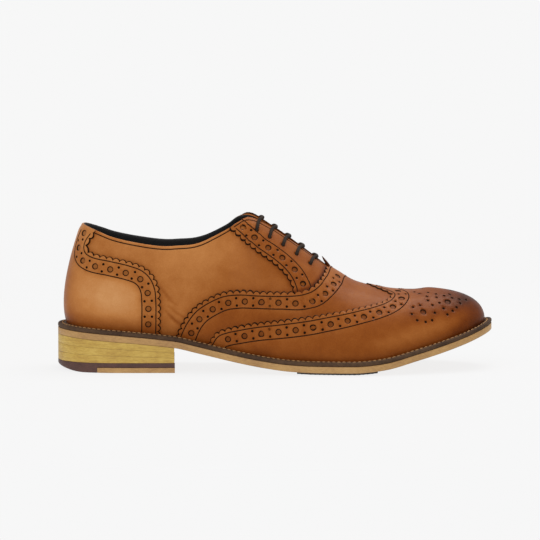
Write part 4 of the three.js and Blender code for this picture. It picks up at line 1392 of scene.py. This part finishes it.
# The medallion's holes as they show from the side: distance from the back, height, and 1 for a large one
MEDALLION = (
    (251.6, 38.8, 1), (268.8, 45.7, 1), (244.5, 42.0, 0), (249.5, 43.3, 0), (243.6, 37.3, 0), (247.3, 33.0, 0),
    (253.1, 31.8, 0), (257.6, 33.0, 0), (259.6, 38.1, 0), (258.1, 43.4, 0), (255.1, 46.6, 0), (254.5, 49.4, 0),
    (261.2, 48.7, 0), (263.0, 44.9, 0), (265.8, 41.1, 0), (268.3, 36.9, 0), (272.0, 39.4, 0), (274.8, 41.8, 0),
    (277.5, 44.6, 0), (277.1, 47.4, 0), (272.1, 48.3, 0), (260.9, 51.0, 0), (255.5, 52.1, 0), (249.4, 51.4, 0),
    (246.1, 52.4, 0), (270.5, 50.8, 0), (281.8, 46.9, 0), (266.6, 49.8, 0),
)
# Its holes along the ridge, measured from the large one there, and the view's slope from which the others were taken
CROWN_HOLES = (-24, -16, -8, 0, 7.5, 14)
VIEW_SLOPE = 0.0963


def medallion_hole(centre, large):
    return (centre, HOLE / 2, 18) if large else (centre, PINHOLE / 2, 9)


holes = forepart_holes(cap_line, 13.0, 11.9, CAP_HOLES)
for along, high, large in MEDALLION:
    spot = front.from_view([(along, high)], VIEW_SLOPE, CAP_LIFT)
    if len(spot) and spot[0][1] < -1.6:
        holes += [medallion_hole(spot[0], large), medallion_hole(front.mirrored(spot[0]), large)]
crown = front.from_view([MEDALLION[1][:2]], VIEW_SLOPE, CAP_LIFT)[0][0]
holes += [medallion_hole((crown + step, 0.0), step == 0) for step in CROWN_HOLES]
seams["toe_cap"] = [(front, row, cap_lift) for row in forepart_rows(cap_line, CAP_HOLES, (2.4, 2.4))]
cut_leather("toe_cap", front, outline, holes, cap_lift, cap_shade, front.both(cap_line))

for name, stitch_rows in seams.items():
    sew(name, stitch_rows)


# ----------------------------------------------------------------------------------------------------------- the bottom
def rim_loop(inset, count=420):
    """The outsole's edge all the way round from the heel, along the inner side, round the toe and back"""
    run = np.interp(np.linspace(0, 1, count // 2 + 1), KNOTS / KNOTS[-1], np.arange(TOE + 1))
    inner = inset_point(1, run, np.full(len(run), inset))
    outer = inset_point(-1, run[::-1], np.full(len(run), inset))
    return np.vstack([inner, outer[1:-1]])


SLAB_TOP = 100


def slab(
    name, node, finish, under, over, inset=0.0, corner=0.7, start=None, end=None, hollow=0.0, ribs=0.0, steps=()
):
    """A plate of the sole or heel: its outline drawn up in rings round its corners, and closed over both faces

    It is drawn from level 0 to SLAB_TOP first, and then takes its true heights from the functions under and over.
    """
    bm = bmesh.new()
    rounding = ((corner, 0), (corner * 0.3, corner * 0.3), (0, corner))
    levels = rounding + tuple((reach, SLAB_TOP - height) for reach, height in rounding[::-1])
    chain = start_chain(bm, rim_loop(inset + corner))
    lowest = chain_edges(bm, chain)
    for reach, height in levels[1:]:
        chain = draw_up(bm, chain, at_height(rim_loop(inset + reach), height))
    for ends, way in ((lowest, -1), (chain_edges(bm, chain), 1)):
        bmesh.ops.triangle_fill(bm, use_beauty=True, use_dissolve=False, edges=ends, normal=(0, 0, way))
    for at, outer in ((start, -1), (end, 1)):
        if at is not None:
            plane = {"dist": 1e-4, "plane_co": (at, 0, 0), "plane_no": (outer, 0, 0), "clear_outer": True}
            cut = bmesh.ops.bisect_plane(bm, geom=bm.verts[:] + bm.edges[:] + bm.faces[:], **plane)
            fresh = [e for e in cut["geom_cut"] if isinstance(e, bmesh.types.BMEdge)]
            bmesh.ops.triangle_fill(bm, use_beauty=True, use_dissolve=False, edges=fresh, normal=(outer, 0, 0))
    low, high = min(v.co.x for v in bm.verts), max(v.co.x for v in bm.verts)
    pitch = 1.5 if ribs else 3.0
    for at in [low + k * pitch for k in range(1, int((high - low) / pitch))] + list(steps):
        slice_at(bm, 0, at)
    for at in np.arange(-48, 49, 8.0) if hollow else ():
        slice_at(bm, 1, at)
    bmesh.ops.recalc_face_normals(bm, faces=bm.faces[:])
    x, y, level_at = read_points(bm).T
    lower, upper = under(x), over(x)
    between = (level_at - corner) / (SLAB_TOP - 2 * corner) * (upper - lower - 2 * corner)
    z = np.where(level_at >= SLAB_TOP - corner, upper - (SLAB_TOP - level_at), lower + corner + between)
    z = np.where(level_at <= corner, lower + level_at, z)
    if ribs:
        z += np.where((level_at < 0.01) & (np.rint((x - low) / pitch) % 2 == 1), ribs, 0)
    if hollow:
        breast = hollow * np.clip(1 - (y / 34) ** 2, 0, 1) + BREAST_LEAN * smooth_step(-30, 30, y)
        x = x - breast * smooth_step(end - 12, end, x)
    set_points(bm, to_metres(np.column_stack([x, y, z])))
    edge = np.minimum(level_at, SLAB_TOP - level_at) < corner * 0.6
    piece = finish_piece(bm, name, finish, (node,), {"edge": edge})
    piece.data.set_sharp_from_angle(angle=math.radians(40))


def heel_level(x, n):
    return TOP_PIECE_HEIGHT + (underside(x) - TOP_PIECE_HEIGHT) * (n / LIFTS)


def walking_face(x):
    return BEVEL_HEIGHT * np.maximum(1 - x / BEVEL_LENGTH, 0) ** 2


slab("outsole_leather", "outsole", SOLE, underside, lambda x: outsole_top(x) + 0.5, corner=0.4)
for n, name in enumerate(("lower", "middle", "upper")):
    slab(
        "lift_" + name, "heel_lift_" + name, STACKED,
        lambda x, n=n: heel_level(x, n) + 0.02, lambda x, n=n: heel_level(x, n + 1) - 0.02,
        corner=0.12, end=HEEL_LENGTH, hollow=BREAST_HOLLOW,
    )
slab(
    "top_piece", "heel_top_piece", RUBBER,
    lambda x: np.where(x > TIP_SETBACK + 0.16, TIP_HEIGHT + 0.1, walking_face(x)),
    lambda x: np.full(len(x), TOP_PIECE_HEIGHT - 0.05),
    corner=0.4, end=HEEL_LENGTH + 0.4, hollow=BREAST_HOLLOW, steps=(TIP_SETBACK + 0.1, TIP_SETBACK + 0.2),
)
slab(
    "leather_tip", "heel_leather_tip", SOLE, walking_face, lambda x: np.full(len(x), TIP_HEIGHT - 0.05),
    corner=0.35, start=TIP_SETBACK + 0.25, end=HEEL_LENGTH + 0.4, hollow=BREAST_HOLLOW,
)
slab(
    "tread_pad_rubber", "tread_pad", TREAD,
    lambda x: np.maximum(underside(x) - TREAD_THICKNESS - 0.2, 0), lambda x: underside(x) + 0.1,
    TREAD_INSET, 0.5, TREAD_START, TREAD_END, ribs=0.55,
)
slab(
    "insole_sock", "insole", INSOLE, lambda x: outsole_top(x) + 0.3, lambda x: outsole_top(x) + 3.3,
    WELT_REACH + 2.7, 0.8,
)


# The welt: a leather strip round the whole shoe, with its stitches on top and a wheeled mark between each two
# Its section in rings: how far in from the outsole's edge, and how high over the outsole
WELT_RINGS = (
    (10, 0.55), (0.7, 0.55), (0.15, 0.95), (-0.1, 1.7), (0.0, 2.7), (0.5, 3.35), (1.3, 3.6), (2.3, 3.5), (3.1, 3.2),
    (3.9, 3.45), (4.8, 3.62), (7.6, 3.7), (10, 3.6),
)
WELT_PITCH = 3.5
WELT_ROW = 3.1
WELT_ROW_HEIGHT = 3.42
WELT_COUNT = 1320


def welt():
    bm = bmesh.new()
    seam = rim_loop(WELT_ROW, WELT_COUNT)
    run = run_along(seam)
    wave = 0.5 - 0.5 * np.cos(2 * math.pi * run / (run[-1] / round(run[-1] / WELT_PITCH)))
    chain = start_chain(bm, rim_loop(WELT_RINGS[0][0], WELT_COUNT))
    for reach, height in WELT_RINGS[1:]:
        wheeled = 0.4 < reach < 4.5 and height > 3
        notch = 0.22 * (1 - wave) ** 3 if wheeled else 0
        chain = draw_up(bm, chain, at_height(rim_loop(reach, WELT_COUNT), height - notch))
    bmesh.ops.recalc_face_normals(bm, faces=bm.faces[:])
    flat = read_points(bm)
    flat[:, 2] += outsole_top(flat[:, 0])
    set_points(bm, to_metres(flat))
    finish_piece(bm, "welt_strip", WELT, ("welt",))

    row = at_height(seam, outsole_top(seam[:, 0]) + WELT_ROW_HEIGHT)
    run = run_along(row)
    stitches = round(run[-1] / WELT_PITCH)
    at = (np.arange(stitches) + 0.5) * run[-1] / stitches
    middles = np.column_stack([np.interp(at, run, row[:, k]) for k in range(3)])
    along = np.gradient(middles, axis=0)
    along /= np.linalg.norm(along, axis=1, keepdims=True)
    bm = bmesh.new()
    add_stitches(bm, (middles, along, np.tile((0, 0, 1.0), (len(middles), 1))), 3.1, 1.15)
    finish_piece(bm, "welt_stitching", WELT_THREAD)


welt()


# The lace: a round waxed cord that crosses the slit in five bars, each going down through its two eyelets
def lace_bar(at):
    """A bar's middle line: up out of one eyelet, straight across, and down into the other"""
    over = FACING_LIFT + LACE / 2 - 0.1
    half = [(1, -3.2), (1, -1.2), (1, over - 1.5), (0.95, over - 0.45), (0.86, over)]
    half += [(share, over) for share in (0.7, 0.5, 0.3, 0.15, 0.05)]
    path = []
    for side in (-1, 1):
        places = []
        for share, lift in half:
            places.append(on_last(side, eyelet_row(at, share), 1 - EYELET_SETBACK * share, lift)[0][0])
        path += places if side < 0 else places[::-1]
    return smooth_line(np.array(path), 5)


def lace():
    bm = bmesh.new()
    turn = np.linspace(0, 2 * math.pi, 14, endpoint=False)
    for at in EYELETS:
        path = lace_bar(at)
        along = np.gradient(path, axis=0)
        along /= np.linalg.norm(along, axis=1, keepdims=True)
        rings = []
        for middle, way, run in zip(path, along, run_along(path)):
            b = np.cross(way, (1.0, 0, 0))
            b /= np.linalg.norm(b)
            c = np.cross(way, b)
            plait = 1 + 0.07 * np.cos(4 * turn + run * 2.6) * np.cos(4 * turn - run * 2.6)
            round_it = np.outer(np.cos(turn), b) + np.outer(np.sin(turn), c)
            rings.append(to_metres(middle + round_it * LACE / 2 * plait[:, None] * 1.04))
        tube(bm, rings)
    bmesh.ops.recalc_face_normals(bm, faces=bm.faces[:])
    finish_piece(bm, "lace_cord", CORD, ("lace",))


lace()


# The tongue: a soft leather flap behind the slit, which comes to a point under the throat
def tongue_shape(across, up):
    side = np.where(across < 0.5, -1.0, 1.0)
    v = 1 - np.abs(across - 0.5) * 2 * 0.36
    return on_last(side, 8.9 + up * 3.9, v, -3.3 - 0.6 * np.cos(3 * up), False)


# A small pointed tab of the same leather stands up at the throat: along, up, half thickness and half width
TAB = (
    (189.6, 65.0, 1.3, 2.4), (188.3, 68.0, 1.3, 2.4), (186.9, 70.6, 1.25, 2.3), (185.2, 73.2, 1.0, 2.0),
    (183.6, 75.5, 0.65, 1.4), (182.4, 77.4, 0.15, 0.4),
)
TAB_TURN = np.linspace(0, math.tau, 12, endpoint=False)


def tab_ring(x, z, thick, wide):
    lean = thick * np.cos(TAB_TURN)
    return to_metres(np.column_stack([x + 0.87 * lean, axis_side(x) + wide * np.sin(TAB_TURN), z + 0.5 * lean]))


bm = draped_grid(24, 40, tongue_shape)
bmesh.ops.solidify(bm, geom=bm.faces[:], thickness=0.0016)
flap = len(bm.verts)
tube(bm, [tab_ring(*ring) for ring in TAB])
bmesh.ops.recalc_face_normals(bm, faces=bm.faces[:])
bm.verts.index_update()
# The flap and the tab are toned darker than the upper's tan: painted shade behind the slit and in the throat
tones = np.where(np.arange(len(bm.verts)) < flap, 0.25, 0.1)
finish_piece(bm, "tongue_leather", CALF, ("tongue",), {"tone": tones})


# ------------------------------------------------------------------------------------------------ studio and photograph
def studio():
    bm = bmesh.new()
    bmesh.ops.create_circle(bm, cap_ends=True, segments=64, radius=2.4)
    mesh = bpy.data.meshes.new("floor")
    bm.to_mesh(mesh)
    bm.free()
    floor = bpy.data.objects.new("floor", mesh)
    bpy.context.scene.collection.objects.link(floor)
    pale = Finish("studio_floor", Roughness=1.0, Specular_IOR_Level=0.0, Emission_Strength=1.0)
    away = pale.node("ShaderNodeVectorMath", {"operation": "LENGTH"}, {0: pale.place}, "Value")
    near = 1 - away.step(0.25, 1.1)
    mesh.materials.append(pale.wears(Base_Color=srgb(84, 84, 84), Emission_Color=(0.83, 0.83, 0.83, 1), Alpha=near))

    world = bpy.context.scene.world or bpy.data.worlds.new("studio")
    bpy.context.scene.world = world
    world.use_nodes = True
    nodes, links = world.node_tree.nodes, world.node_tree.links
    sky = nodes["Background"]
    rays = nodes.new("ShaderNodeLightPath")
    seen = nodes.new("ShaderNodeMix")
    seen.data_type = "RGBA"
    seen.inputs[6].default_value = (0.62, 0.62, 0.63, 1)
    seen.inputs[7].default_value = (0.93, 0.93, 0.93, 1)
    links.new(rays.outputs["Is Camera Ray"], seen.inputs[0])
    links.new(seen.outputs[2], sky.inputs["Color"])

    for name, place, size, power in (
        ("softbox_over", (0.3, 0.3, 1.3), 0.9, 9),
        ("softbox_side", (-0.5, -1.4, 1.2), 1.5, 9),
    ):
        lamp = bpy.data.lights.new(name, "AREA")
        lamp.shape, lamp.size, lamp.energy = "DISK", size, power
        light = bpy.data.objects.new(name, lamp)
        light.location = place
        light.rotation_euler = (Vector((0, 0, 0.05)) - Vector(place)).to_track_quat("-Z", "Y").to_euler()
        bpy.context.scene.collection.objects.link(light)


def photograph():
    """The photograph's view: square on to the outer side, a little from above, from far away"""
    distance, tilt, width_seen, sensor = 3.0, math.radians(5.5), 0.373, 36
    aim = Vector((-0.0035, 0, 0.0676))
    lens = bpy.data.cameras.new("photograph")
    lens.sensor_width, lens.sensor_fit = sensor, "HORIZONTAL"
    lens.lens = sensor * distance / width_seen
    lens.clip_start, lens.clip_end = 0.1, 50
    camera = bpy.data.objects.new("photograph", lens)
    camera.location = aim + distance * Vector((0, -math.cos(tilt), math.sin(tilt)))
    camera.rotation_euler = (aim - camera.location).to_track_quat("-Z", "Y").to_euler()
    bpy.context.scene.collection.objects.link(camera)
    bpy.context.scene.camera = camera


studio()
photograph()
bpy.context.scene.view_settings.view_transform = "Standard"
